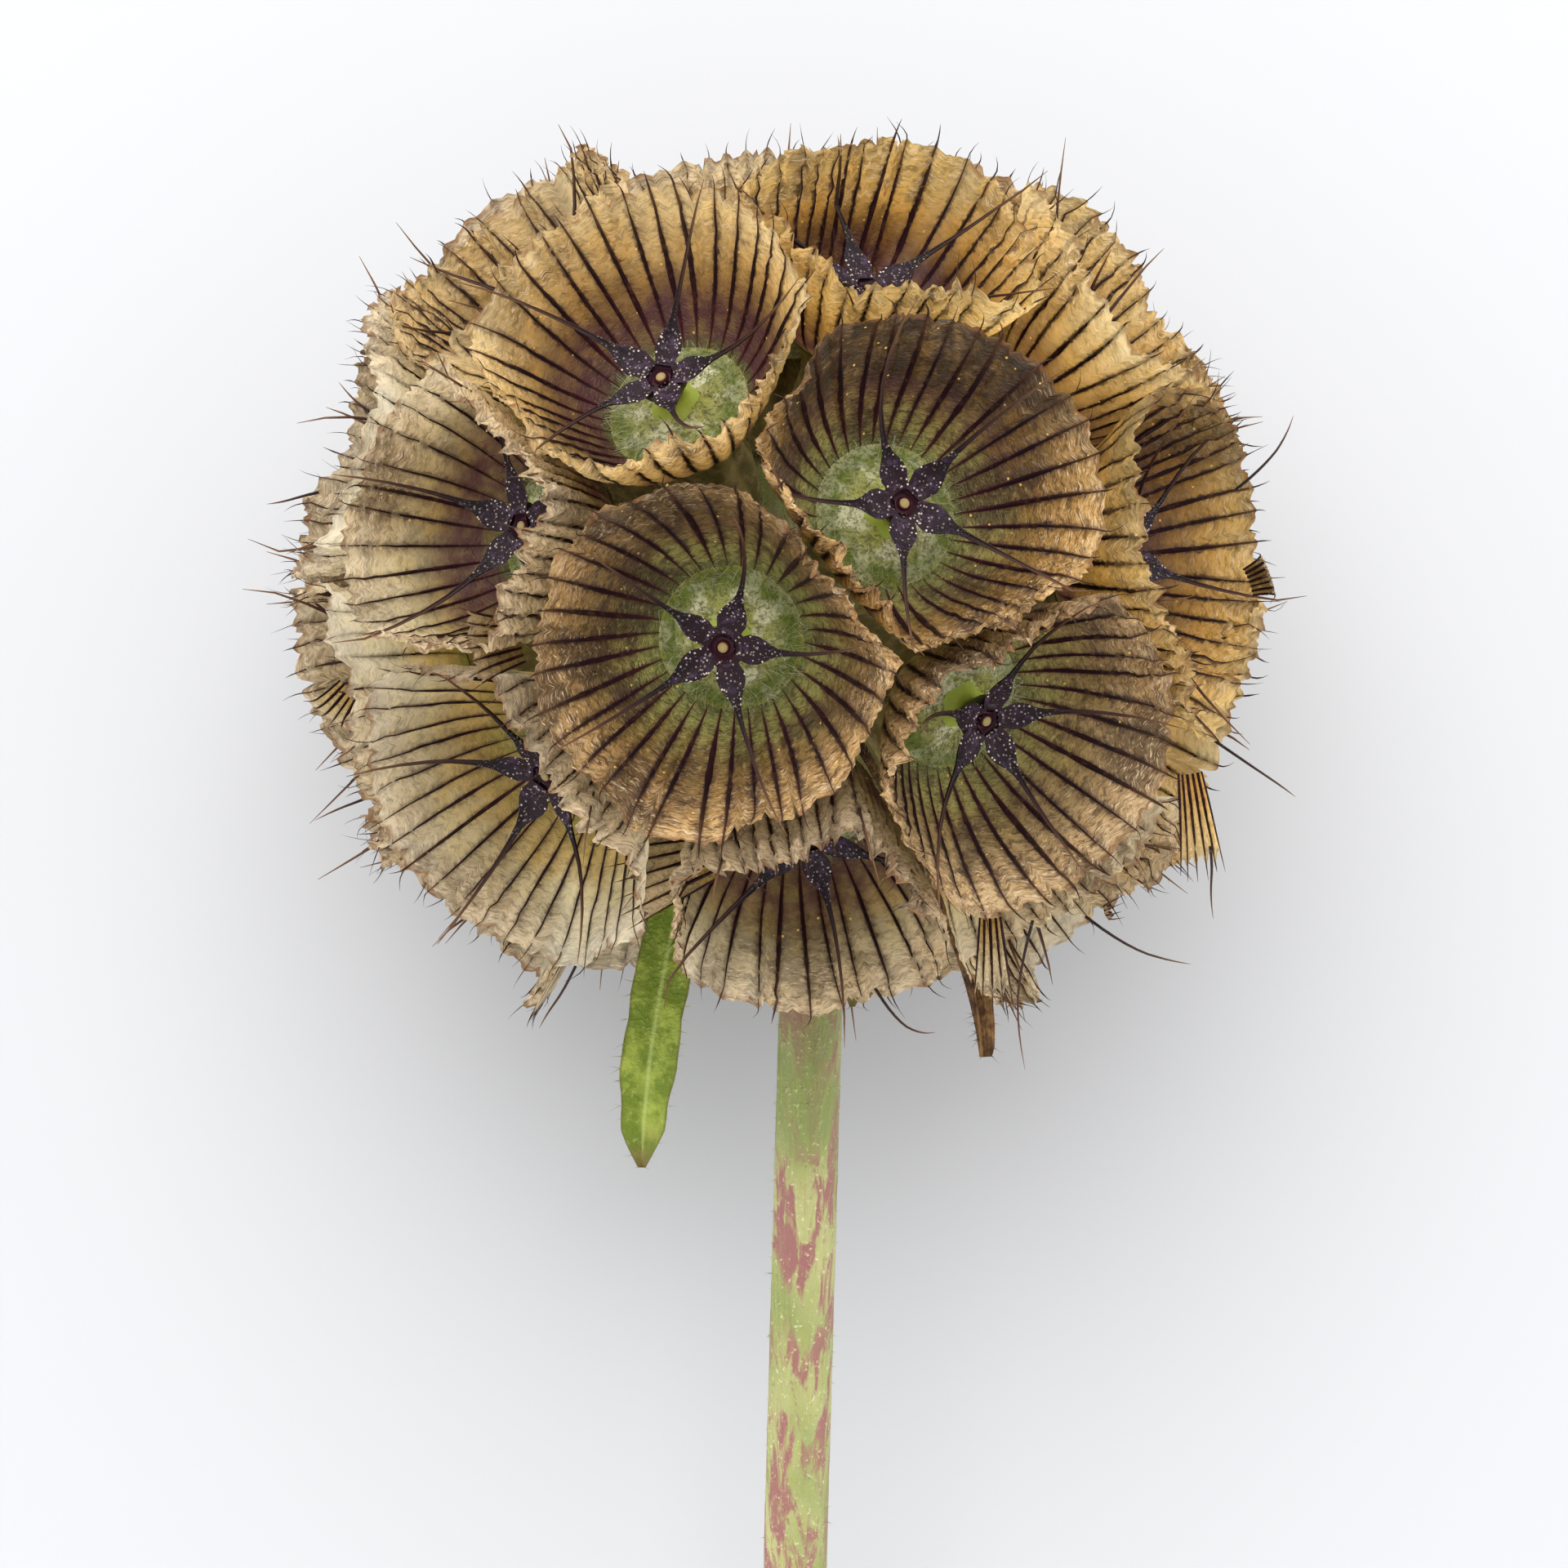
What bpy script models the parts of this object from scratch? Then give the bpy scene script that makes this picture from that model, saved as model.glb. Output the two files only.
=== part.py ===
"""Starflower scabious seed head, cut with a short stem and lying on its side.

Metres, +Z up, the surface that it lies on at Z = 0. The head is a ball of ripe fruits on a small
receptacle. Each fruit is two organs: a papery cup on its tube, and the dark calyx star with five
awns that stands in the cup. Leafy bracts ring the top of the stem, and one of them has dried.
"""

import math

import bmesh
import bpy
import numpy as np

MM = 0.001

# The head, its place and its lean
HEAD_HEIGHT = 16.3 * MM
HEAD_FORWARD = 34.8 * MM
HEAD_ASIDE = 0.1 * MM
STEM_REACH = 88.0 * MM
STEM_RADIUS = 1.2 * MM
STEM_FLAT = 0.25 * MM
LEAN = math.asin((HEAD_HEIGHT - STEM_RADIUS + STEM_FLAT) / STEM_REACH)

# The fruits, as distances from the head's centre along a fruit's axis, and radii about that axis
RECEPTACLE_RADIUS = 4.7 * MM
TUBE_FOOT = (1.0 * MM, 5.0 * MM)
DISC_RADIUS = 2.6 * MM
DISC_HEIGHT = 12.0 * MM
DISC_DOME = 0.6 * MM
MEMBRANE_LENGTH = 6.1 * MM
MEMBRANE_SLOPE = math.radians(38)
MEMBRANE_RISE = math.radians(14)
RISE_SPREAD = 2.6
CROWN_SINK = 3.8 * MM
FOOT_SINK = 0.8 * MM
SINK_POWER = 6

# The papery wall and its ribs
WALL = 0.6 * MM
GAP = 0.3 * MM
RIBS = 17
PLEAT = 0.2 * MM
TOOTH = 0.7 * MM
GROWTH_STEPS = 20
RING_SHARES = (0.0, 0.55, 1.0)
SLOPE_WAVES = ((2, 2.4, 0.07), (3, 4.1, 0.06))
LENGTH_WAVE = (2, 1.3, 0.03)

# How neighbouring cups press on each other
NEIGHBOUR_ANGLE = math.radians(75)
LEAST_HALF_ANGLE = math.radians(13.8)
PIVOT_RADIUS = 12.5 * MM
MOST_TILT = math.radians(32)
STEM_CELL = math.radians(29)
SOFTENING = 1.3 * MM
LEAST_STRIDE = 0.35
SETTLING_ROUNDS = 4

# The calyx star: for each stage of a lobe its radius, half width, rise above the hub and thickness
STAR_HEIGHT = 14.1 * MM
STAR_VALLEY_RADIUS = 0.85 * MM
STIPE_RADIUS = 0.5 * MM
HUB_THICKNESS = 0.6 * MM
LOBES = 5
LOBE_STAGES = (
    (1.35 * MM, 0.62 * MM, 0.15 * MM, 0.60 * MM),
    (2.3 * MM, 0.30 * MM, 0.60 * MM, 0.50 * MM),
    (3.9 * MM, 0.22 * MM, 1.75 * MM, 0.40 * MM),
)
AWN_TIP = (5.9 * MM, 0.0, 3.5 * MM, 0.22 * MM)
AWN_CLEARANCE = 1.4 * MM
AWN_FLOOR_CLEARANCE = 0.35 * MM

# Fruits that are seen: longitude and latitude of the axis, turn of the star, reach against the
# neighbours and overhang above them, all in degrees. Longitude 0 and latitude 0 face the viewer.
SEEN_FRUITS = (
    (-8, -11, 70, 0, 12),
    (19, 10, 44, 2, 5),
    (-20, 30, 11, 1, 3),
    (25, 53, 20, 0, -3),
    (-41, 7, 18, -1, -5),
    (-44, -31, 10, 0, 1),
    (35, -22, 14, 1, 3),
    (6, -43, 70, -1, -8),
    (66, 3, 57, 0, -2),
    (80, 36, 20, 0, -4),
    (99, -20, 30, 0, 2),
    (76, -49, 50, 0, -3),
    (112, 12, 5, 0, 0),
    (-66, 48, 40, 0, -2),
    (-86, 18, 25, 0, 1),
    (-84, -17, 60, 0, -2),
    (-92, -52, 15, 0, 0),
)

# The other fruits: the lowest one rests flat on the surface, and the rest share the room left
HIDDEN_FRUITS = 11
GUARD_LATITUDE = -78
HIDDEN_TURN = 31
CANDIDATES = 700
RELAX_ROUNDS = 60
RELAX_STEP = 0.012
GOLDEN_ANGLE = math.pi * (3 - math.sqrt(5))

# The stem's line, as places to the right and up from the head's centre
STEM_LINE = (
    (0.6 * MM, -2.0 * MM),
    (1.0 * MM, -9.0 * MM),
    (1.2 * MM, -16.0 * MM),
    (0.7 * MM, -34.0 * MM),
    (0.0 * MM, -60.0 * MM),
    (-0.8 * MM, -STEM_REACH),
)
STEM_POINTS = 14
NECK_FLARE = 0.35
NECK_LENGTH = 5.0 * MM

# Bracts: azimuth round the stem from the viewer's right, length, half width, how far the tip stands
# from the stem's line, and how far the blade twists by its tip
BRACT_STAGES = 6
BRACT_ARCH = 1.7
BRACT_WALL = 0.6 * MM
GREEN_BRACT_ROOT = (1.3 * MM, -3.9 * MM)
GREEN_BRACTS = (
    (166, 17.9 * MM, 1.05 * MM, 5.6 * MM, 62),
    (112, 10.5 * MM, 0.9 * MM, 4.6 * MM, 10),
    (58, 12.0 * MM, 0.95 * MM, 5.2 * MM, -15),
    (285, 8.6 * MM, 0.85 * MM, 3.9 * MM, 10),
    (232, 8.0 * MM, 0.85 * MM, 3.8 * MM, -10),
)
DRY_BRACT_ROOT = (2.7 * MM, -5.4 * MM)
DRY_BRACT = (14, 12.3 * MM, 0.6 * MM, 7.9 * MM, -50)


def frame_vectors():
    """The viewer's right, up and front as directions of the row."""
    right = np.array((1.0, 0.0, 0.0))
    up = np.array((0.0, math.cos(LEAN), math.sin(LEAN)))
    return right, up, np.cross(right, up)


RIGHT, UP, FRONT = frame_vectors()
HEAD_CENTRE = np.array((HEAD_ASIDE, HEAD_FORWARD, HEAD_HEIGHT))


def direction(longitude, latitude):
    """The unit vector of a place on the head, from its longitude and latitude in degrees."""
    lon, lat = math.radians(longitude), math.radians(latitude)
    flat = math.cos(lat)
    return math.sin(lon) * flat * RIGHT + math.sin(lat) * UP + math.cos(lon) * flat * FRONT


def unit(vectors):
    return vectors / np.linalg.norm(vectors, axis=-1, keepdims=True)


def spread_hidden(placed):
    """Axes of the hidden fruits: each takes the widest gap left, and then all of them relax."""
    steps = np.arange(CANDIDATES) + 0.5
    height = 1 - 2 * steps / CANDIDATES
    flat = np.sqrt(1 - height**2)
    angle = steps * GOLDEN_ANGLE
    candidates = (
        np.outer(flat * np.cos(angle), RIGHT)
        + np.outer(height, UP)
        + np.outer(flat * np.sin(angle), FRONT)
    )
    fixed = len(placed)
    points = np.array(placed)
    for _ in range(HIDDEN_FRUITS):
        nearest = (candidates @ points.T).max(axis=1)
        points = np.vstack((points, candidates[nearest.argmin()]))
    for _ in range(RELAX_ROUNDS):
        apart = points[:, None] - points[None]
        distance = np.linalg.norm(apart, axis=2) + np.eye(len(points))
        push = (apart / distance[..., None] ** 4).sum(axis=1)
        points[fixed:] = unit(points[fixed:] + RELAX_STEP * push[fixed:])
    return points[fixed:]


def stem_guards():
    """Points round the stem's hole, which keep the hidden fruits out of it."""
    return [direction(longitude, GUARD_LATITUDE) for longitude in (0, 90, 180, 270)]


def all_fruits():
    """Every fruit as a dictionary with its number, axis, turn, reach and overhang."""
    seen = [direction(row[0], row[1]) for row in SEEN_FRUITS]
    straight_down = np.array((0.0, 0.0, -1.0))
    hidden = [straight_down, *spread_hidden([straight_down, *seen, *stem_guards()])]
    fruits = []
    for number, row in enumerate(SEEN_FRUITS):
        fruits.append({"axis": seen[number], "turn": row[2], "reach": row[3], "over": row[4]})
    for number, axis in enumerate(hidden):
        over = 3 * (number % 3) - 3
        fruits.append({"axis": axis, "turn": HIDDEN_TURN * number, "reach": 0, "over": over})
    for number, fruit in enumerate(fruits):
        fruit["number"] = number + 1
        add_own_frame(fruit)
    return fruits


def add_own_frame(fruit):
    """The fruit's right and up, and how far it sits nearer to the centre than one on the equator."""
    axis = fruit["axis"]
    height = float(axis @ UP)
    fruit["sink"] = (CROWN_SINK if height > 0 else FOOT_SINK) * height**SINK_POWER
    side_up = unit(UP - (UP @ axis) * axis)
    fruit["side_up"] = side_up
    fruit["side_right"] = np.cross(side_up, axis)


def boundary(fruit, other):
    """The plane between two fruits, as a normal towards the other one and an offset.

    It stands on the head's centre where they share the room evenly, and leans over the neighbour
    that the fruit overhangs.
    """
    axis = fruit["axis"]
    apart = math.acos(float(axis @ other["axis"]))
    half = apart / 2 + math.radians(fruit["reach"] - other["reach"]) / 2
    half = min(max(half, LEAST_HALF_ANGLE), apart - LEAST_HALF_ANGLE)
    towards = unit(other["axis"] - (axis @ other["axis"]) * axis)
    edge = math.cos(half) * axis + math.sin(half) * towards
    across = math.cos(half) * towards - math.sin(half) * axis
    tilt = math.radians(fruit["over"] - other["over"])
    tilt = min(max(tilt, -MOST_TILT), MOST_TILT)
    normal = math.cos(tilt) * across - math.sin(tilt) * edge
    return normal, -math.sin(tilt) * PIVOT_RADIUS


def cell_planes(fruit, fruits):
    """The planes that a fruit stays behind: one for each neighbour, and one for the stem's room."""
    planes = []
    for other in fruits:
        if other is fruit or fruit["axis"] @ other["axis"] < math.cos(NEIGHBOUR_ANGLE):
            continue
        planes.append(boundary(fruit, other))
    below = -UP
    outwards = unit(fruit["axis"] - (fruit["axis"] @ below) * below)
    planes.append((math.sin(STEM_CELL) * below - math.cos(STEM_CELL) * outwards, 0.0))
    return planes


def held_back(points, planes, clearance, floor):
    """The points moved behind the planes and above the floor, by the clearances given."""
    moved = points.copy()
    for _ in range(SETTLING_ROUNDS):
        for normal, offset in planes:
            beyond = moved @ normal - (offset - clearance)
            moved -= np.outer(np.maximum(beyond, 0), normal)
    world = moved + HEAD_CENTRE
    world[:, 2] = np.maximum(world[:, 2], floor)
    return world


def lazy_wave(fruit, angles, waves, per_turn, amplitude):
    """A slow wave round the cup, which starts elsewhere on each fruit."""
    return amplitude * np.sin(waves * angles + per_turn * fruit["number"])


def natural_slope(fruit, share, angles):
    """How steeply the free membrane climbs at this share of its length."""
    wave = sum(lazy_wave(fruit, angles, *row) for row in SLOPE_WAVES)
    return MEMBRANE_SLOPE + MEMBRANE_RISE * math.sin(RISE_SPREAD * share) + wave * share


def grow_membrane(fruit, planes, angles, clearance):
    """Grows the meridians of the cup outwards from the disc, turning each along what it meets.

    Returns radii, heights and slopes, one row for each step.
    """
    spokes = np.outer(np.cos(angles), fruit["side_right"]) + np.outer(
        np.sin(angles), fruit["side_up"]
    )
    radius = np.full(len(angles), DISC_RADIUS)
    height = np.full(len(angles), DISC_HEIGHT - fruit["sink"])
    stride = MEMBRANE_LENGTH * (1 + lazy_wave(fruit, angles, *LENGTH_WAVE)) / GROWTH_STEPS
    rows = [(radius, height, natural_slope(fruit, 0.0, angles))]
    for step in range(GROWTH_STEPS):
        slope = natural_slope(fruit, (step + 0.5) / GROWTH_STEPS, angles)
        out, rise = np.cos(slope), np.sin(slope)
        for normal, offset in planes:
            along, across = float(normal @ fruit["axis"]), spokes @ normal
            size = np.hypot(along, across)
            room = (offset - clearance - along * height - across * radius) / size
            weight = np.clip(1 - room / SOFTENING, 0, 1)
            weight = weight * weight * (3 - 2 * weight)
            into = weight * np.maximum(across * out + along * rise, 0) / size
            out = out - into * across / size
            rise = rise - into * along / size
        size = np.maximum(np.hypot(out, rise), LEAST_STRIDE)
        out, rise = out / size, rise / size
        radius, height = radius + out * stride, height + rise * stride
        rows.append((radius, height, np.arctan2(rise, out)))
    return rows


def place(fruit, angles, radius, height):
    """Points from the head's centre, given their radii about the fruit's axis and their heights."""
    spokes = np.outer(np.cos(angles), fruit["side_right"]) + np.outer(
        np.sin(angles), fruit["side_up"]
    )
    return spokes * np.reshape(radius, (-1, 1)) + np.outer(
        np.broadcast_to(height, len(angles)), fruit["axis"]
    )


def cup_rings(fruit, planes):
    """The inner and outer rings of the cup, from the disc to the toothed rim."""
    count = 2 * RIBS
    angles = math.radians(fruit["turn"]) + np.arange(count) * 2 * math.pi / count
    rib = np.where(np.arange(count) % 2 == 0, 1.0, -1.0)
    rows = grow_membrane(fruit, planes, angles, (WALL + GAP) / 2)
    inner, outer = [], []
    for share in RING_SHARES:
        radius, height, slope = rows[round(share * GROWTH_STEPS)]
        pleat = PLEAT * share * rib
        if share == 1.0:
            tooth = TOOTH * np.maximum(rib, 0)
            radius, height = radius + tooth * np.cos(slope), height + tooth * np.sin(slope)
        for rings, offset in ((inner, pleat + WALL / 2), (outer, pleat - WALL / 2)):
            points = place(
                fruit, angles, radius - offset * np.sin(slope), height + offset * np.cos(slope)
            )
            points = held_back(points, planes, GAP / 2, 0.0)
            rings.append(points[::2] if share == 0.0 else points)
    return inner, outer


def bridge(bm, lower, upper):
    """Triangles between two closed rings. The upper one has as many points, or twice as many."""
    count = len(lower)
    double = len(upper) == 2 * count
    for k in range(count):
        after = (k + 1) % count
        if double:
            first, middle, last = upper[2 * k], upper[2 * k + 1], upper[(2 * k + 2) % len(upper)]
            bm.faces.new((lower[k], middle, first))
            bm.faces.new((lower[k], lower[after], middle))
            bm.faces.new((lower[after], last, middle))
        else:
            bm.faces.new((lower[k], upper[after], upper[k]))
            bm.faces.new((lower[k], lower[after], upper[after]))


def fan(bm, ring, centre):
    """Triangles that close a ring about its centre point."""
    hub = bm.verts.new(centre)
    for k, vertex in enumerate(ring):
        bm.faces.new((vertex, ring[(k + 1) % len(ring)], hub))


def new_object(name, bm, material, collection):
    """Makes an object of the shape, with its faces pointing outwards."""
    bmesh.ops.recalc_face_normals(bm, faces=bm.faces[:])
    if bm.calc_volume(signed=True) < 0:
        bmesh.ops.reverse_faces(bm, faces=bm.faces[:])
    mesh = bpy.data.meshes.new(name)
    bm.to_mesh(mesh)
    bm.free()
    mesh.materials.append(material)
    made = bpy.data.objects.new(name, mesh)
    collection.objects.link(made)
    return made


def add_ring(bm, points):
    return [bm.verts.new(point) for point in points]


def make_cup(fruit, planes, material, collection):
    """The papery cup with its disc, on the tube that stands on the receptacle."""
    inner, outer = cup_rings(fruit, planes)
    bm = bmesh.new()
    inner = [add_ring(bm, points) for points in inner]
    outer = [add_ring(bm, points) for points in outer]
    foot_angles = math.radians(fruit["turn"]) + np.arange(RIBS) * 2 * math.pi / RIBS
    foot = place(fruit, foot_angles, TUBE_FOOT[0], TUBE_FOOT[1]) + HEAD_CENTRE
    foot = add_ring(bm, foot)
    fan(bm, inner[0], HEAD_CENTRE + (DISC_HEIGHT - fruit["sink"] + DISC_DOME) * fruit["axis"])
    bridge(bm, inner[0], inner[1])
    bridge(bm, inner[1], inner[2])
    bridge(bm, inner[2], outer[2])
    bridge(bm, outer[1], outer[2])
    bridge(bm, outer[0], outer[1])
    bridge(bm, foot, outer[0])
    fan(bm, foot, HEAD_CENTRE + TUBE_FOOT[1] * fruit["axis"])
    made = new_object(f"cup_{fruit['number']:02d}", bm, material, collection)
    made.data.shade_smooth()
    made.data.set_sharp_from_angle(angle=math.radians(35))


def star_rings(fruit, planes):
    """The points of the star's upper and lower faces: the valleys, the sides of each stage, the tips.

    The middle line of each lobe keeps clear of the cup, and its width and thickness follow it.
    """
    turn = math.radians(fruit["turn"])
    lobes = turn + np.arange(LOBES) * 2 * math.pi / LOBES
    valleys = lobes - math.pi / LOBES
    hub = STAR_HEIGHT - fruit["sink"]
    rings = [(place(fruit, valleys, STAR_VALLEY_RADIUS, hub) + HEAD_CENTRE, HUB_THICKNESS)]
    across = place(fruit, lobes + math.pi / 2, 1.0, 0.0)
    for radius, half_width, rise, thickness in (*LOBE_STAGES, AWN_TIP):
        middle = place(fruit, lobes, radius, hub + rise)
        middle = held_back(middle, planes, AWN_CLEARANCE, AWN_FLOOR_CLEARANCE)
        sides = (-half_width, half_width) if half_width else (0.0,)
        for side in sides:
            rings.append((middle + side * across, thickness))
    axis = fruit["axis"]
    upper = [points + thickness / 2 * axis for points, thickness in rings]
    lower = [points - thickness / 2 * axis for points, thickness in rings]
    return upper, lower


def lobe_outline(rings, k):
    """The points along both edges of one lobe of a face, from the valleys up, and its tip."""
    left = [rings[0][k], rings[1][k], rings[3][k], rings[5][k]]
    right = [rings[0][(k + 1) % LOBES], rings[2][k], rings[4][k], rings[6][k]]
    return left, right, rings[7][k]


def face_of_lobe(bm, left, right, tip):
    """The triangles of one lobe's face, from the hub to the tip of its awn."""
    for stage in range(len(left) - 1):
        bm.faces.new((left[stage], right[stage], right[stage + 1]))
        bm.faces.new((left[stage], right[stage + 1], left[stage + 1]))
    bm.faces.new((left[-1], right[-1], tip))


def make_star(fruit, planes, material, collection):
    """The calyx: a star of five lobes drawn out into awns, on a short stipe above the disc."""
    bm = bmesh.new()
    upper, lower = [[add_ring(bm, ring) for ring in face] for face in star_rings(fruit, planes)]
    for k in range(LOBES):
        outlines = [lobe_outline(face, k) for face in (upper, lower)]
        for left, right, tip in outlines:
            face_of_lobe(bm, left, right, tip)
        top_edge, low_edge = [[*left, tip, *reversed(right)] for left, right, tip in outlines]
        for stage in range(len(top_edge) - 1):
            bm.faces.new((top_edge[stage], top_edge[stage + 1], low_edge[stage + 1]))
            bm.faces.new((top_edge[stage], low_edge[stage + 1], low_edge[stage]))
    dish = STAR_HEIGHT - fruit["sink"] + HUB_THICKNESS / 4
    fan(bm, upper[0], HEAD_CENTRE + dish * fruit["axis"])
    foot_height = DISC_HEIGHT - fruit["sink"] + DISC_DOME + GAP
    valleys = math.radians(fruit["turn"]) + (np.arange(LOBES) - 0.5) * 2 * math.pi / LOBES
    foot = add_ring(bm, place(fruit, valleys, STIPE_RADIUS, foot_height) + HEAD_CENTRE)
    bridge(bm, foot, lower[0])
    fan(bm, foot, HEAD_CENTRE + foot_height * fruit["axis"])
    new_object(f"star_{fruit['number']:02d}", bm, material, collection)


def head_place(right, up, front):
    """A point of the row, from its place to the viewer's right, up and front of the head's centre."""
    return HEAD_CENTRE + right * RIGHT + up * UP + front * FRONT


def make_stem_tube(collection):
    """The stem as a curve with a round bevel, a little wider where it meets the receptacle."""
    guide = np.array(STEM_LINE)
    ups = np.linspace(guide[0, 1], guide[-1, 1], STEM_POINTS)
    rights = np.interp(-ups, -guide[:, 1], guide[:, 0])
    curve = bpy.data.curves.new("stem_line", "CURVE")
    curve.dimensions = "3D"
    curve.bevel_depth = STEM_RADIUS
    curve.bevel_resolution = 3
    curve.use_fill_caps = True
    spline = curve.splines.new("POLY")
    spline.points.add(STEM_POINTS - 1)
    for point, up, right in zip(spline.points, ups, rights):
        point.co = (*head_place(right, up, 0.0), 1.0)
        point.radius = 1 + NECK_FLARE * math.exp(-(((up - ups[0]) / NECK_LENGTH) ** 2))
    tube = bpy.data.objects.new("stem_line", curve)
    collection.objects.link(tube)
    return tube


def mesh_of(tube, name, collection):
    """The curve's mesh as an object, with its caps joined to its side."""
    bpy.context.view_layer.update()
    evaluated = tube.evaluated_get(bpy.context.evaluated_depsgraph_get())
    mesh = bpy.data.meshes.new_from_object(evaluated)
    bm = bmesh.new()
    bm.from_mesh(mesh)
    bmesh.ops.remove_doubles(bm, verts=bm.verts[:], dist=0.01 * MM)
    bmesh.ops.recalc_face_normals(bm, faces=bm.faces[:])
    bm.to_mesh(mesh)
    bm.free()
    made = bpy.data.objects.new(name, mesh)
    made.matrix_world = tube.matrix_world.copy()
    collection.objects.link(made)
    bpy.data.objects.remove(tube)
    return made


def bract_shape(root, azimuth, length, half_width, spread, twist):
    """A narrow leaf that leaves the stem's top, arches out and then hangs along the stem."""
    turn = math.radians(azimuth)
    out = math.cos(turn) * RIGHT - math.sin(turn) * FRONT
    aside = math.sin(turn) * RIGHT + math.cos(turn) * FRONT
    bm = bmesh.new()
    rings = []
    for stage in range(BRACT_STAGES):
        share = stage / (BRACT_STAGES - 1)
        arch = 1 - (1 - share) ** BRACT_ARCH
        line = HEAD_CENTRE + (root[0] + (spread - root[0]) * arch) * out
        line = line + (root[1] - length * share) * UP
        angle = math.radians(twist) * share
        across = math.cos(angle) * aside + math.sin(angle) * out
        face = math.cos(angle) * out - math.sin(angle) * aside + 0.5 * (1 - share) * UP
        across = across * half_width * bract_width(share)
        face = unit(face) * BRACT_WALL / 2
        corners = (-across + face, across + face, across - face, -across - face)
        points = np.array([line + corner for corner in corners])
        points[:, 2] = np.maximum(points[:, 2], 0.1 * MM)
        rings.append(add_ring(bm, points))
    for lower, upper in zip(rings, rings[1:]):
        bridge(bm, lower, upper)
    bm.faces.new(rings[0])
    bm.faces.new(rings[-1])
    return bm


def bract_width(share):
    """The share of the full width that a bract has along its length, with a blunt tip."""
    return 0.5 + 0.5 * math.sin(math.pi * min(0.25 + 0.75 * share, 0.9))


def make_stem(material, collection, helpers):
    """The stem, its receptacle and the green bracts, which grew as one piece."""
    stem = mesh_of(make_stem_tube(helpers), "stem", collection)
    stem.data.materials.clear()
    stem.data.materials.append(material)
    ball = bmesh.new()
    bmesh.ops.create_icosphere(ball, subdivisions=3, radius=RECEPTACLE_RADIUS)
    bmesh.ops.translate(ball, verts=ball.verts[:], vec=HEAD_CENTRE)
    joined = [new_object("receptacle", ball, material, helpers)]
    for row in GREEN_BRACTS:
        joined.append(new_object("bract", bract_shape(GREEN_BRACT_ROOT, *row), material, helpers))
    union = stem.modifiers.new("join", "BOOLEAN")
    union.operation = "UNION"
    union.operand_type = "COLLECTION"
    union.collection = helpers
    union.solver = "EXACT"
    bpy.context.view_layer.update()
    evaluated = stem.evaluated_get(bpy.context.evaluated_depsgraph_get())
    mesh = bpy.data.meshes.new_from_object(evaluated)
    stem.modifiers.clear()
    stem.data = mesh
    for helper in joined:
        bpy.data.objects.remove(helper)
    rest_on_surface(stem.data)
    stem.data.shade_smooth()
    stem.data.set_sharp_from_angle(angle=math.radians(40))


def rest_on_surface(mesh):
    """The stem's cut end lies on the surface with a small flat spot."""
    for vertex in mesh.vertices:
        vertex.co.z = max(vertex.co.z, 0.0)


def plain_material(name, colour, roughness):
    material = bpy.data.materials.new(name)
    material.use_nodes = True
    shader = material.node_tree.nodes["Principled BSDF"]
    shader.inputs["Base Color"].default_value = (*colour, 1.0)
    shader.inputs["Roughness"].default_value = roughness
    shader.inputs["Metallic"].default_value = 0.0
    return material


def new_collection(name):
    made = bpy.data.collections.new(name)
    bpy.context.scene.collection.children.link(made)
    return made


def main():
    for left_over in list(bpy.data.objects):
        bpy.data.objects.remove(left_over)
    head = new_collection("starflower_seed_head")
    helpers = new_collection("helpers")
    helpers.hide_render = True
    paper = plain_material("papery_cup", (0.42, 0.28, 0.12), 0.75)
    calyx = plain_material("calyx_star", (0.045, 0.025, 0.045), 0.6)
    green = plain_material("green_stem", (0.33, 0.40, 0.14), 0.6)
    dried = plain_material("dry_bract", (0.16, 0.08, 0.035), 0.8)
    make_stem(green, head, helpers)
    new_object("dry_bract", bract_shape(DRY_BRACT_ROOT, *DRY_BRACT), dried, head)
    fruits = all_fruits()
    for fruit in fruits:
        planes = cell_planes(fruit, fruits)
        make_cup(fruit, planes, paper, head)
        make_star(fruit, planes, calyx, head)


main()
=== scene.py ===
"""The looks of the starflower scabious seed head: papery cups with their ribs, the dark calyx
stars, the hairy stem and the bracts, on a pale floor in soft light."""

import math

import bpy
import numpy as np
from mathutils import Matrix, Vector


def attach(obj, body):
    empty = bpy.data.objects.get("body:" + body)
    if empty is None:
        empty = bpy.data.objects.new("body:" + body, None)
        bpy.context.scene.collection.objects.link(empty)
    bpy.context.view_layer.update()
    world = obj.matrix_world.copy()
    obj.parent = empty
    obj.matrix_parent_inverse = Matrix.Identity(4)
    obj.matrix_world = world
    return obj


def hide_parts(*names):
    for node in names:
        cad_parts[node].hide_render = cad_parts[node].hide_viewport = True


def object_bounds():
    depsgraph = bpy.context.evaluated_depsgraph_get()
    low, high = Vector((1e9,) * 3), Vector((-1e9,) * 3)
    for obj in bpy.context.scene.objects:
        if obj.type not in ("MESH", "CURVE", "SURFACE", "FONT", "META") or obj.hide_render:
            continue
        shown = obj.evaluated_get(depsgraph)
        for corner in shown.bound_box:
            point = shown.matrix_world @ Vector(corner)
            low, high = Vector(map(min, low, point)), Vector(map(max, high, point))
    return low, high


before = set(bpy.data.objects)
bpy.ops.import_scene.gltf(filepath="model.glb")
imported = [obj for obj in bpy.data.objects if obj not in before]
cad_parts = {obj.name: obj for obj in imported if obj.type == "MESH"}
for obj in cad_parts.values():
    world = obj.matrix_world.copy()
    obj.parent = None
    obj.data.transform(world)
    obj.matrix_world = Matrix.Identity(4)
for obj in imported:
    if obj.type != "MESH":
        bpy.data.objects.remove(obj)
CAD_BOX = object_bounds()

MM = 0.001
TURN = 2 * math.pi

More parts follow.
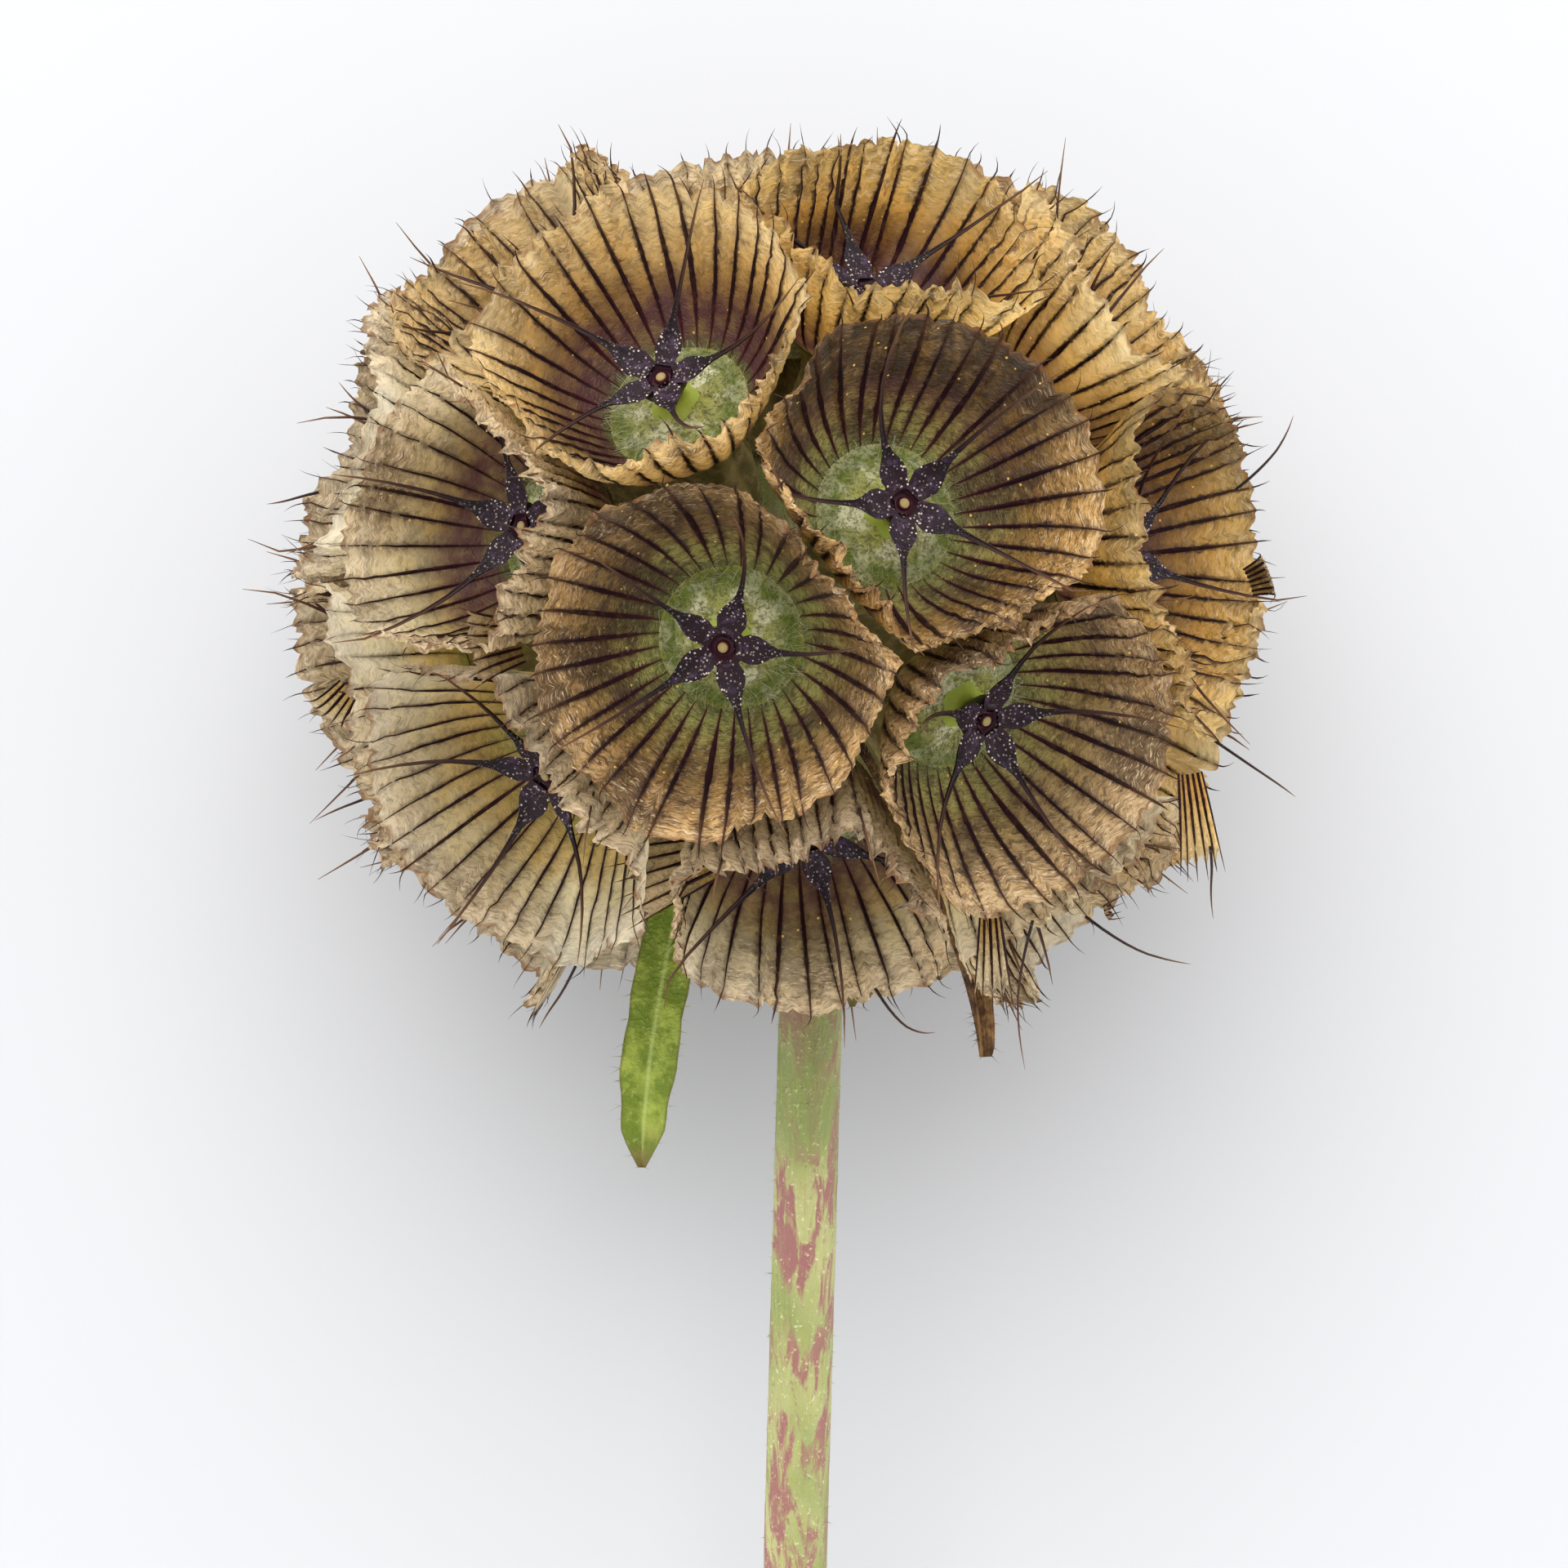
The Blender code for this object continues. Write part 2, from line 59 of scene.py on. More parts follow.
# The head, its place and its lean, as in the CAD model
HEAD_HEIGHT = 16.3 * MM
HEAD_FORWARD = 34.8 * MM
HEAD_ASIDE = 0.1 * MM
STEM_REACH = 88.0 * MM
STEM_RADIUS = 1.2 * MM
STEM_FLAT = 0.25 * MM
LEAN = math.asin((HEAD_HEIGHT - STEM_RADIUS + STEM_FLAT) / STEM_REACH)

# The camera stands 300 mm from the head, square to its front. The photo is 1920 pixels wide.
CAMERA_DISTANCE = 300.0 * MM
PHOTO_WIDTH = 1920
PIXEL_SIZE = 0.0303 * MM
HEAD_IN_PHOTO = (952, 712)
SENSOR = 36.0
CLIP = (0.01, 10.0)

# The fruits, as distances from the head's centre along a fruit's axis, and radii about that axis
RECEPTACLE_RADIUS = 4.7 * MM
DISC_RADIUS = 2.6 * MM
DISC_HEIGHT = 12.0 * MM
DISC_DOME = 0.6 * MM
MEMBRANE_LENGTH = 6.1 * MM
MEMBRANE_SLOPE = math.radians(38)
MEMBRANE_RISE = math.radians(14)
RISE_SPREAD = 2.6
CROWN_SINK = 3.8 * MM
FOOT_SINK = 0.8 * MM
SINK_POWER = 6
SLOPE_WAVES = ((2, 2.4, 0.07), (3, 4.1, 0.06))
LENGTH_WAVE = (2, 1.3, 0.03)
STAR_HEIGHT = 14.1 * MM

# How neighbouring cups press on each other
NEIGHBOUR_ANGLE = math.radians(75)
LEAST_HALF_ANGLE = math.radians(13.8)
PIVOT_RADIUS = 12.5 * MM
MOST_TILT = math.radians(32)
STEM_CELL = math.radians(29)
SOFTENING = 1.3 * MM
LEAST_STRIDE = 0.35
SETTLING_ROUNDS = 4
# How hard a cup is pressed for the way it is turned, and the part of that felt one step further on
PRESS_GAIN = 2.5
PRESS_KEPT = 0.8

# Fruits that are seen: longitude and latitude of the axis, turn of the star, reach against the
# neighbours and overhang above them, all in degrees. Longitude 0 and latitude 0 face the viewer.
SEEN_FRUITS = (
    (-8, -11, 70, 0, 12),
    (19, 10, 44, 2, 5),
    (-20, 30, 11, 1, 3),
    (25, 53, 20, 0, -3),
    (-41, 7, 18, -1, -5),
    (-44, -31, 10, 0, 1),
    (35, -22, 14, 1, 3),
    (6, -43, 70, -1, -8),
    (66, 3, 57, 0, -2),
    (80, 36, 20, 0, -4),
    (99, -20, 30, 0, 2),
    (76, -49, 50, 0, -3),
    (112, 12, 5, 0, 0),
    (-66, 48, 40, 0, -2),
    (-86, 18, 25, 0, 1),
    (-84, -17, 60, 0, -2),
    (-92, -52, 15, 0, 0),
)
HIDDEN_FRUITS = 11
GUARD_LATITUDE = -78
HIDDEN_TURN = 31
CANDIDATES = 700
RELAX_ROUNDS = 60
RELAX_STEP = 0.012
GOLDEN_ANGLE = math.pi * (3 - math.sqrt(5))

# The real membrane is a single sheet with twice the CAD model's ridges. Fruits in view get a finer
# mesh than the ones round the back: columns between two ribs, and rows from disc to rim.
RIBS = 34
FINE_MESH = (8, 40)
PLAIN_MESH = (6, 26)
GROWTH_STEPS = 24
GROWTH_COLUMNS = 136
ROW_CROWDING = 0.8
MEMBRANE_CLEARANCE = 0.22 * MM
LEAST_CLEARANCE = 0.06 * MM
PLEAT = 0.075 * MM
SCALLOP = 0.012
RAGGED = 0.045
WAVY_EDGE = 0.045
NICK = 0.018
TEAR = 0.07
TEAR_LIMIT = 0.975
CRUMPLE = 0.12 * MM
LIP = 0.42 * MM
LIP_START = 0.8
RIB_SWAY = 0.055
RIB_WANDER = 0.022

# Ripples: how many waves, their fewest and most turns round the cup or part and along it, how fast
# the short ones fade, and whether they are creased
SWAY = (5, (1, 5), (0, 1))
TORN = (9, (40, 130), (0, 1), 0.3)
EDGE = (4, (3, 9), (0, 1))
SOFT = (8, (5, 18), (1, 4), 0.3)
FOLDED = (14, (18, 60), (2, 9), 0.35, True)
FINE = (12, (50, 120), (4, 22), 0.2, True)
LIP_WAVES = (7, (3, 16), (0, 1), 0.2)
DISC_LUMPS = (8, (3, 12), (1, 3))
STEM_BUMPS = (16, (1, 6), (4, 60), 0.3)
KNOB_LUMPS = (20, (5, 14), (4, 14))
FLAP_FOLDS = (10, (2, 9), (1, 6), 0.3, True)


# The viewer's right, up and front, as directions of the row
RIGHT = np.array((1.0, 0.0, 0.0))
UP = np.array((0.0, math.cos(LEAN), math.sin(LEAN)))
FRONT = np.cross(RIGHT, UP)
HEAD_CENTRE = np.array((HEAD_ASIDE, HEAD_FORWARD, HEAD_HEIGHT))

# Seeds of the random draws. A fruit's number is added to the seed of its cup and of its star.
CUP_SEED, STAR_SEED, STEM_SEED, KNOB_SEED, FLAP_SEED, BRACT_SEED = 100, 500, 7, 11, 31, 23


def head_place(right, up, front):
    """A point of the row, from its place to the viewer's right, up and front of the head's centre."""
    return HEAD_CENTRE + right * RIGHT + up * UP + front * FRONT


def direction(longitude, latitude):
    """A way out of the head, from angles in degrees."""
    lon, lat = math.radians(longitude), math.radians(latitude)
    return math.cos(lat) * (math.sin(lon) * RIGHT + math.cos(lon) * FRONT) + math.sin(lat) * UP


def unit(vectors):
    """The vectors, each made one long."""
    return vectors / np.maximum(np.linalg.norm(vectors, axis=-1, keepdims=True), 1e-12)


def above(points, floor):
    """The points, with those below a height lifted to it."""
    points[..., 2] = np.maximum(points[..., 2], floor)
    return points


def spread_hidden(placed):
    """Axes of the hidden fruits: each takes the widest gap left, and then all of them relax."""
    steps = np.arange(CANDIDATES) + 0.5
    height = 1 - 2 * steps / CANDIDATES
    flat, angle = np.sqrt(1 - height**2), steps * GOLDEN_ANGLE
    candidates = np.outer(flat * np.cos(angle), RIGHT) + np.outer(height, UP)
    candidates += np.outer(flat * np.sin(angle), FRONT)
    fixed = len(placed)
    points = np.array(placed)
    for _ in range(HIDDEN_FRUITS):
        nearest = (candidates @ points.T).max(axis=1)
        points = np.vstack((points, candidates[nearest.argmin()]))
    for _ in range(RELAX_ROUNDS):
        apart = points[:, None] - points[None]
        distance = np.linalg.norm(apart, axis=2) + np.eye(len(points))
        push = (apart / distance[..., None] ** 4).sum(axis=1)
        points[fixed:] = unit(points[fixed:] + RELAX_STEP * push[fixed:])
    return points[fixed:]


def all_fruits():
    """Every fruit as a dictionary with its number, axis, turn, reach and overhang."""
    seen = [direction(row[0], row[1]) for row in SEEN_FRUITS]
    straight_down = np.array((0.0, 0.0, -1.0))
    guards = [direction(longitude, GUARD_LATITUDE) for longitude in (0, 90, 180, 270)]
    hidden = [straight_down, *spread_hidden([straight_down, *seen, *guards])]
    rows = [(axis, *row[2:]) for axis, row in zip(seen, SEEN_FRUITS)]
    rows += [(axis, HIDDEN_TURN * number, 0, 3 * (number % 3) - 3) for number, axis in enumerate(hidden)]
    fruits = []
    for number, (axis, turn, reach, over) in enumerate(rows):
        fruits.append({"number": number + 1, "axis": axis, "turn": turn, "reach": reach, "over": over})
        add_own_frame(fruits[-1])
    return fruits


def add_own_frame(fruit):
    """The fruit's right and up, and how far it sits nearer to the centre than one on the equator."""
    axis = fruit["axis"]
    height = float(axis @ UP)
    fruit["sink"] = (CROWN_SINK if height > 0 else FOOT_SINK) * height**SINK_POWER
    fruit["side_up"] = unit(UP - (UP @ axis) * axis)
    fruit["side_right"] = np.cross(fruit["side_up"], axis)


def boundary(fruit, other):
    """The plane between two fruits, as a normal towards the other one and an offset."""
    axis = fruit["axis"]
    apart = math.acos(float(axis @ other["axis"]))
    half = apart / 2 + math.radians(fruit["reach"] - other["reach"]) / 2
    half = min(max(half, LEAST_HALF_ANGLE), apart - LEAST_HALF_ANGLE)
    towards = unit(other["axis"] - (axis @ other["axis"]) * axis)
    edge = math.cos(half) * axis + math.sin(half) * towards
    across = math.cos(half) * towards - math.sin(half) * axis
    tilt = math.radians(fruit["over"] - other["over"])
    tilt = min(max(tilt, -MOST_TILT), MOST_TILT)
    return math.cos(tilt) * across - math.sin(tilt) * edge, -math.sin(tilt) * PIVOT_RADIUS


def cell_planes(fruit, fruits):
    """The planes that a fruit stays behind: one for each neighbour, and one for the stem's room."""
    near = [other for other in fruits
            if other is not fruit and fruit["axis"] @ other["axis"] >= math.cos(NEIGHBOUR_ANGLE)]
    outwards = unit(fruit["axis"] - (fruit["axis"] @ UP) * UP)
    stem_side = -math.sin(STEM_CELL) * UP - math.cos(STEM_CELL) * outwards
    return [boundary(fruit, other) for other in near] + [(stem_side, 0.0)]


def held_back(points, planes, clearance, floor):
    """The points moved behind the planes and above the floor, by the clearances given."""
    moved = points.copy()
    for _ in range(SETTLING_ROUNDS):
        for normal, offset in planes:
            beyond = moved @ normal - (offset - clearance)
            moved -= np.maximum(beyond, 0)[..., None] * normal
    return above(moved + HEAD_CENTRE, floor)


def lazy_wave(fruit, angles, waves, per_turn, amplitude):
    """A slow wave round the cup, which starts elsewhere on each fruit."""
    return amplitude * np.sin(waves * angles + per_turn * fruit["number"])


def natural_slope(fruit, share, angles):
    """How steeply the free membrane climbs at this share of its length."""
    wave = sum(lazy_wave(fruit, angles, *row) for row in SLOPE_WAVES)
    return MEMBRANE_SLOPE + MEMBRANE_RISE * math.sin(RISE_SPREAD * share) + wave * share


def spokes_of(fruit, angles):
    """Directions at right angles to the fruit's axis, one for each angle."""
    right, up = np.cos(angles)[..., None], np.sin(angles)[..., None]
    return right * fruit["side_right"] + up * fruit["side_up"]


def ring_of(fruit, columns):
    """Angles round the fruit, from its own turn on, and one row of spokes there."""
    angles = math.radians(fruit["turn"]) + np.arange(columns) * TURN / columns
    return angles, spokes_of(fruit, angles)[None]


def around_axis(fruit, spokes, radius, height):
    """Places from the head's centre, out along the spokes and up along the fruit's axis."""
    return spokes * radius[..., None] + fruit["axis"] * height[..., None]


def grow_membrane(fruit, planes, angles):
    """Grows the meridians of the cup outwards from the disc, turning each along what it meets.

    Returns radii, heights, slopes and how hard each point is pressed, one row for each step.
    """
    spokes = spokes_of(fruit, angles)
    radius = np.full(len(angles), DISC_RADIUS)
    height = np.full(len(angles), DISC_HEIGHT - fruit["sink"])
    pressed = np.zeros(len(angles))
    stride = MEMBRANE_LENGTH * (1 + lazy_wave(fruit, angles, *LENGTH_WAVE)) / GROWTH_STEPS
    rows = [(radius, height, natural_slope(fruit, 0.0, angles), pressed)]
    for step in range(GROWTH_STEPS):
        slope = natural_slope(fruit, (step + 0.5) / GROWTH_STEPS, angles)
        out, rise = np.cos(slope), np.sin(slope)
        pressed = pressed * PRESS_KEPT
        for normal, offset in planes:
            along, across = float(normal @ fruit["axis"]), spokes @ normal
            size = np.hypot(along, across)
            room = (offset - MEMBRANE_CLEARANCE - along * height - across * radius) / size
            weight = np.clip(1 - room / SOFTENING, 0, 1)
            weight = weight * weight * (3 - 2 * weight)
            into = weight * np.maximum(across * out + along * rise, 0) / size
            pressed = np.maximum(pressed, np.clip(into * PRESS_GAIN, 0, 1))
            out = out - into * across / size
            rise = rise - into * along / size
        size = np.maximum(np.hypot(out, rise), LEAST_STRIDE)
        out, rise = out / size, rise / size
        radius, height = radius + out * stride, height + rise * stride
        rows.append((radius, height, np.arctan2(rise, out), pressed))
    return [np.array(values) for values in zip(*rows)]


def linked(name, data):
    """A new object in the scene."""
    made = bpy.data.objects.new(name, data)
    bpy.context.scene.collection.objects.link(made)
    return made


class Shape:
    """Collects the points and faces of one piece, with a material slot, UVs and a tint."""

    def __init__(self):
        self.points, self.tints, self.faces, self.slots, self.uvs = [], [], [], [], []
        self.count = 0

    def add(self, points, slot, *parts, tint=(0.0, 0.0, 0.0)):
        """Adds points, and parts that are each faces of three or four corners and their UVs."""
        points = points.reshape(-1, 3)
        for faces, uvs in parts:
            self.faces.append(faces + self.count)
            self.uvs.append(uvs.reshape(-1, 2))
            self.slots.append(np.full(len(faces), slot))
        self.points.append(points)
        self.tints.append(np.broadcast_to(tint, points.shape))
        self.count += len(points)

    def build(self, name, materials, replaced, sharp=50):
        """Makes the piece, which rides on the one body and stands for the CAD nodes named."""
        mesh = bpy.data.meshes.new(name)
        points = np.concatenate(self.points)
        mesh.from_pydata(points.tolist(), [], [face for faces in self.faces for face in faces.tolist()])
        mesh.polygons.foreach_set("material_index", np.concatenate(self.slots).astype(np.int32))
        uvs = np.concatenate(self.uvs).astype(np.float32)
        mesh.uv_layers.new(name="UVMap").data.foreach_set("uv", uvs.ravel())
        colours = np.ones((len(points), 4), np.float32)
        colours[:, :3] = np.concatenate(self.tints)
        layer = mesh.color_attributes.new("tint", "FLOAT_COLOR", "POINT")
        layer.data.foreach_set("color", colours.ravel())
        for material in materials:
            mesh.materials.append(material)
        mesh.shade_smooth()
        mesh.set_sharp_from_angle(angle=math.radians(sharp))
        mesh.validate()
        piece = linked(name, mesh)
        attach(piece, "root")
        if replaced:
            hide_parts(*replaced)


def grid(shares, columns, repeats=1, closed=True, flip=True):
    """Quads of a grid and their UVs: u counts repeats along a row, v is the row's share."""
    shares = np.asarray(shares)
    last = columns if closed else columns - 1
    row, left = np.meshgrid(np.arange(len(shares) - 1), np.arange(last), indexing="ij")
    low, right = row * columns, (left + 1) % columns
    faces = np.stack((low + left, low + right, low + columns + right, low + columns + left), axis=-1)
    u = np.stack((left, left + 1, left + 1, left), axis=-1) * repeats / columns
    v = np.stack((shares[row], shares[row], shares[row + 1], shares[row + 1]), axis=-1)
    faces, uvs = faces.reshape(-1, 4), np.stack((u, v), axis=-1).reshape(-1, 4, 2)
    return (faces[:, ::-1], uvs[:, ::-1]) if flip else (faces, uvs)


def level_uvs(v):
    """UVs with these values as v, and no u."""
    return np.stack((np.zeros_like(v), v), axis=-1)


def ripples(draw, turns, shares, count, turn_range, share_range, power=1.0, creased=False):
    """A crinkled field round a cup: waves of drawn pitch, each whole round the ring.

    Creased waves have sharp crests, as folded paper has.
    """
    field = np.zeros(np.broadcast(turns, shares).shape)
    for _ in range(count):
        round_ring = draw.integers(*turn_range) * draw.choice((-1, 1))
        along = draw.uniform(*share_range)
        strength = draw.uniform(0.5, 1.0) * (turn_range[0] / abs(round_ring)) ** power
        phase = TURN * (round_ring * turns + along * shares) + draw.uniform(0, TURN)
        wave = 1.3 - 2 * np.abs(np.sin(phase / 2)) if creased else np.sin(phase)
        field = field + strength * wave
    return field / math.sqrt(count)


def sample_grid(values, rows, columns):
    """Reads a grown field at positions counted in steps and in columns, which run on in a ring."""
    low = np.clip(np.floor(rows).astype(int), 0, len(values) - 2)
    part = rows - low
    left = np.floor(columns).astype(int)
    across = columns - left
    count = values.shape[1]
    left, right = left % count, (left + 1) % count
    lower = values[low, left] * (1 - across) + values[low, right] * across
    upper = values[low + 1, left] * (1 - across) + values[low + 1, right] * across
    return lower * (1 - part) + upper * part


def fan_of(corners):
    """The triangles that close a ring of corners, all from its first corner."""
    k = np.arange(1, corners - 1)
    return np.stack((0 * k, k, k + 1), axis=-1)


def close_ends(shape, slot, fan, first, last):
    """Closes a tube's ends, on points of their own."""
    for ring, faces, share in ((first, fan, 0.0), (last, fan[:, ::-1], 1.0)):
        shape.add(ring, slot, (faces, level_uvs(np.full(faces.shape, share))))


def tube_parts(count, shares, corners):
    """Faces and UVs of tubes: the quads of their sides, and the triangles that close both ends."""
    fan = fan_of(corners)
    ends = np.concatenate((fan, fan[:, ::-1] + (len(shares) - 1) * corners))
    v = np.repeat((shares[0], shares[-1]), len(fan))[:, None] * np.ones(3)
    step = len(shares) * corners * np.arange(count)[:, None, None]
    for faces, uvs in (grid(shares, corners), (ends, level_uvs(v))):
        yield (faces + step).reshape(-1, faces.shape[1]), np.tile(uvs, (count, 1, 1))


def add_tubes(shape, paths, facing, radii, section, slot, shares, floor=None):
    """Adds closed tubes along paths, shaped (tube, stage, 3), round the section given.

    facing is the direction that the section's second coordinate takes, radii its size.
    """
    tangents = unit(np.gradient(paths, axis=1))
    sides = unit(np.cross(tangents, facing))
    normals = np.cross(sides, tangents)
    section = np.asarray(section)
    points = paths[:, :, None] + sides[:, :, None] * (radii[..., 0, None] * section[:, 0])[..., None]
    points = points + normals[:, :, None] * (radii[..., 1, None] * section[:, 1])[..., None]
    if floor is not None:
        points = above(points, floor)
    shape.add(points, slot, *tube_parts(len(paths), shares, len(section)))


def add_needles(shape, roots, ways, lengths, width, slot):
    """Adds hairs as slim three-sided cones, with closed feet."""
    helper = np.where(np.abs(ways[:, 2:3]) < 0.9, (0.0, 0.0, 1.0), (1.0, 0.0, 0.0))
    side = unit(np.cross(ways, helper))
    other = np.cross(ways, side)
    angles = TURN * np.arange(3)[:, None, None] / 3
    width = np.broadcast_to(width, len(roots))[:, None]
    feet = roots + (np.cos(angles) * side + np.sin(angles) * other) * width
    tips = roots + ways * lengths[:, None]
    points = np.concatenate((feet, tips[None])).transpose(1, 0, 2)
    faces = np.array(((0, 1, 3), (1, 2, 3), (2, 0, 3), (2, 1, 0)))
    step = 4 * np.arange(len(roots))[:, None, None]
    uvs = level_uvs((faces == 3).astype(float))
    shape.add(points, slot, ((faces + step).reshape(-1, 3), np.tile(uvs, (len(roots), 1, 1))))


# Hairs of each part: how many, and their shortest and longest in mm
DISC_HAIRS, DISC_HAIR_LENGTHS = 520, (0.25, 0.8)
TUBE_HAIRS, TUBE_HAIR_LENGTHS = 150, (0.3, 0.8)
STAR_HAIRS, STAR_HAIR_LENGTHS = 220, (0.05, 0.14)
STEM_HAIRS, STEM_HAIR_LENGTHS = 1500, (0.1, 0.35)
KNOB_HAIRS, KNOB_HAIR_LENGTHS = 700, (0.4, 1.0)
BRACT_HAIRS, BRACT_HAIR_LENGTHS = 110, (0.2, 0.75)
# Half widths of the hairs
KNOB_HAIR, TUBE_HAIR, BRACT_HAIR, STEM_HAIR, STAR_HAIR = np.array((0.02, 0.015, 0.014, 0.012, 0.017)) * MM
DISC_HAIR = (0.01, 0.02)
# How high above the floor the ribs, the awns' middles, the stars and the bracts stay
RIB_FLOOR, AWN_FLOOR, STAR_FLOOR, BRACT_FLOOR = np.array((0.01, 0.12, 0.02, 0.05)) * MM
RIB_STAGES = 13
SPINE_STAGES = (0.3, 0.65, 1.0)
SPINE_SHARE = 0.17
# Half widths of a rib in mm at shares of the membrane's length, and on along the spine
RIB_WIDTHS = (
    (0, 0.1, 0.22, 0.45, 0.7, 0.92, 1.0, 1.06, 1.17),
    (0.02, 0.035, 0.075, 0.105, 0.078, 0.048, 0.042, 0.032, 0.004),
)
RIB_SECTION = ((1.0, 0.0), (0.0, 1.0), (-1.0, 0.0), (0.0, -0.6))
# Colours of each fruit's membrane: how pale and how golden it is, each partly its own tone and partly
# painted glow of light let through from behind; how blushed with purple by the disc; and how much
# painted shade darkens its upper wall
FRUIT_TINTS = (
    (0.05, 0.0, 0.1, 0.45), (0.0, 0.1, 0.15, 1.0), (0.25, 0.75, 1.0, 0.2), (0.15, 1.0, 1.0, 0.25),
    (0.85, 0.2, 1.0, 0.0), (0.95, 0.0, 0.1, 0.35), (0.2, 0.0, 0.2, 0.3), (0.85, 0.0, 0.9, 0.3),
    (0.1, 0.8, 0.9, 0.7), (0.3, 1.0, 0.5, 0.0), (0.3, 1.0, 0.2, 0.2), (0.9, 0.5, 0.1, 0.0),
    (0.3, 1.0, 0.3, 0.0), (0.5, 0.9, 0.3, 0.0), (1.0, 0.3, 0.4, 0.0), (1.0, 0.2, 0.2, 0.0),
    (1.0, 0.1, 0.1, 0.0),
)
DISC_RINGS = 7
DISC_COLUMNS = 48
TUBE_RIDGES = 8
TUBE_COLUMNS = 64
# The tube's outside, from the receptacle up to the disc's edge: radius and height in mm, and how
# deep its furrows are there
TUBE_PROFILE = (
    (0.35, 5.0, 0), (0.85, 5.02, 0.3), (1.05, 5.4, 1), (1.35, 6.6, 1), (1.55, 7.9, 1),
    (1.5, 9.2, 1), (1.65, 10.3, 0.8), (2.1, 11.2, 0.5), (2.6, 11.85, 0.15), (2.66, 11.98, 0),
)
FURROW_DEPTH = 0.13 * MM


def membrane_surface(fruit, planes, draw):
    """Points of the membrane, the way inwards at each, how hard it is pressed, and the rows' shares."""
    per_rib, steps = FINE_MESH if fruit["number"] <= len(SEEN_FRUITS) else PLAIN_MESH
    columns = RIBS * per_rib
    grown = np.arange(GROWTH_COLUMNS) * TURN / GROWTH_COLUMNS + math.radians(fruit["turn"])
    fields = grow_membrane(fruit, planes, grown)
    turns = np.arange(columns)[None, :] / columns
    shares = np.linspace(0, 1, steps + 1)[:, None] ** ROW_CROWDING
    sway = RIB_SWAY * shares**2 * ripples(draw, turns, 0.6 * shares, *SWAY)
    marks = np.arange(RIBS + 1) / RIBS
    for strength, at in ((1.0, shares), (0.8, shares**3)):
        jitter = draw.normal(0, strength * RIB_WANDER, RIBS)
        sway = sway + at * np.interp(turns[0], marks, np.append(jitter, jitter[0]))[None]
    between = 0.5 - 0.5 * np.cos(TURN * RIBS * turns)
    torn = np.abs(ripples(draw, turns, 0.0, *TORN))
    nicks = draw.uniform(0, NICK, columns)[None] + TEAR * (draw.uniform(0, 1, columns)[None] > TEAR_LIMIT)
    edge = 1 - (SCALLOP * between + between**0.5 * (RAGGED * torn + nicks))
    edge = edge * (1 + WAVY_EDGE * ripples(draw, turns, 0.0, *EDGE))
    rows = shares * edge * GROWTH_STEPS
    places = (turns + sway / TURN) * GROWTH_COLUMNS
    radius, height, slope, pressed = (sample_grid(field, rows, places) for field in fields)
    pleat = PLEAT * (0.3 + 0.7 * shares) * (1 + 1.6 * pressed) * between
    soft = ripples(draw, turns, shares, *SOFT)
    folded = ripples(draw, turns, shares, *FOLDED)
    fine = ripples(draw, turns, shares, *FINE)
    rim = (0.35 + 1.6 * pressed) * folded + (0.4 + 0.9 * pressed) * fine
    lift = CRUMPLE * (0.5 * shares * soft + shares**2 * rim)
    lip = np.clip((shares - LIP_START) / (1 - LIP_START), 0, 1) ** 2
    fade = np.minimum(shares * 5, 1)
    lift = fade * (lift - pleat) + LIP * lip * (0.25 + ripples(draw, turns, 0.0, *LIP_WAVES))
    spokes = spokes_of(fruit, grown[0] + turns * TURN + sway)
    inwards = fruit["axis"] * np.cos(slope)[..., None] - spokes * np.sin(slope)[..., None]
    points = around_axis(fruit, spokes, radius, height) + inwards * lift[..., None]
    return held_back(points, planes, LEAST_CLEARANCE, 0.0), inwards, pressed, shares[:, 0]


def add_membrane(shape, fruit, planes, tint, draw):
    """The ribbed paper funnel, a single sheet. Returns what its ribs follow."""
    points, inwards, pressed, shares = membrane_surface(fruit, planes, draw)
    columns = pressed.shape[1]
    turns = np.arange(columns) / columns + fruit["turn"] / 360
    near_disc = np.clip(1.8 - 2.6 * shares, 0, 1)[:, None]
    # Painted shade on the upper wall, where the cups above keep the light off.
    upper = np.clip(1.4 * np.sin(TURN * turns), 0, 1)[None] * np.clip(4 * shares - 0.9, 0, 1)[:, None]
    # Paleness and gold, each partly the cup's own tone and partly painted glow of light let through from
    # behind; both are less where the cup is pressed.
    pale, golden = tint[0] * (1 - 0.45 * pressed), tint[1] * (1 - 0.3 * pressed)
    blush_and_shade = np.maximum(tint[2] * near_disc, tint[3] * upper)
    tints = np.stack((pale, golden, blush_and_shade), axis=-1).reshape(-1, 3)
    shape.add(points, 0, grid(shares, columns, RIBS), tint=tints)
    return points, inwards, shares


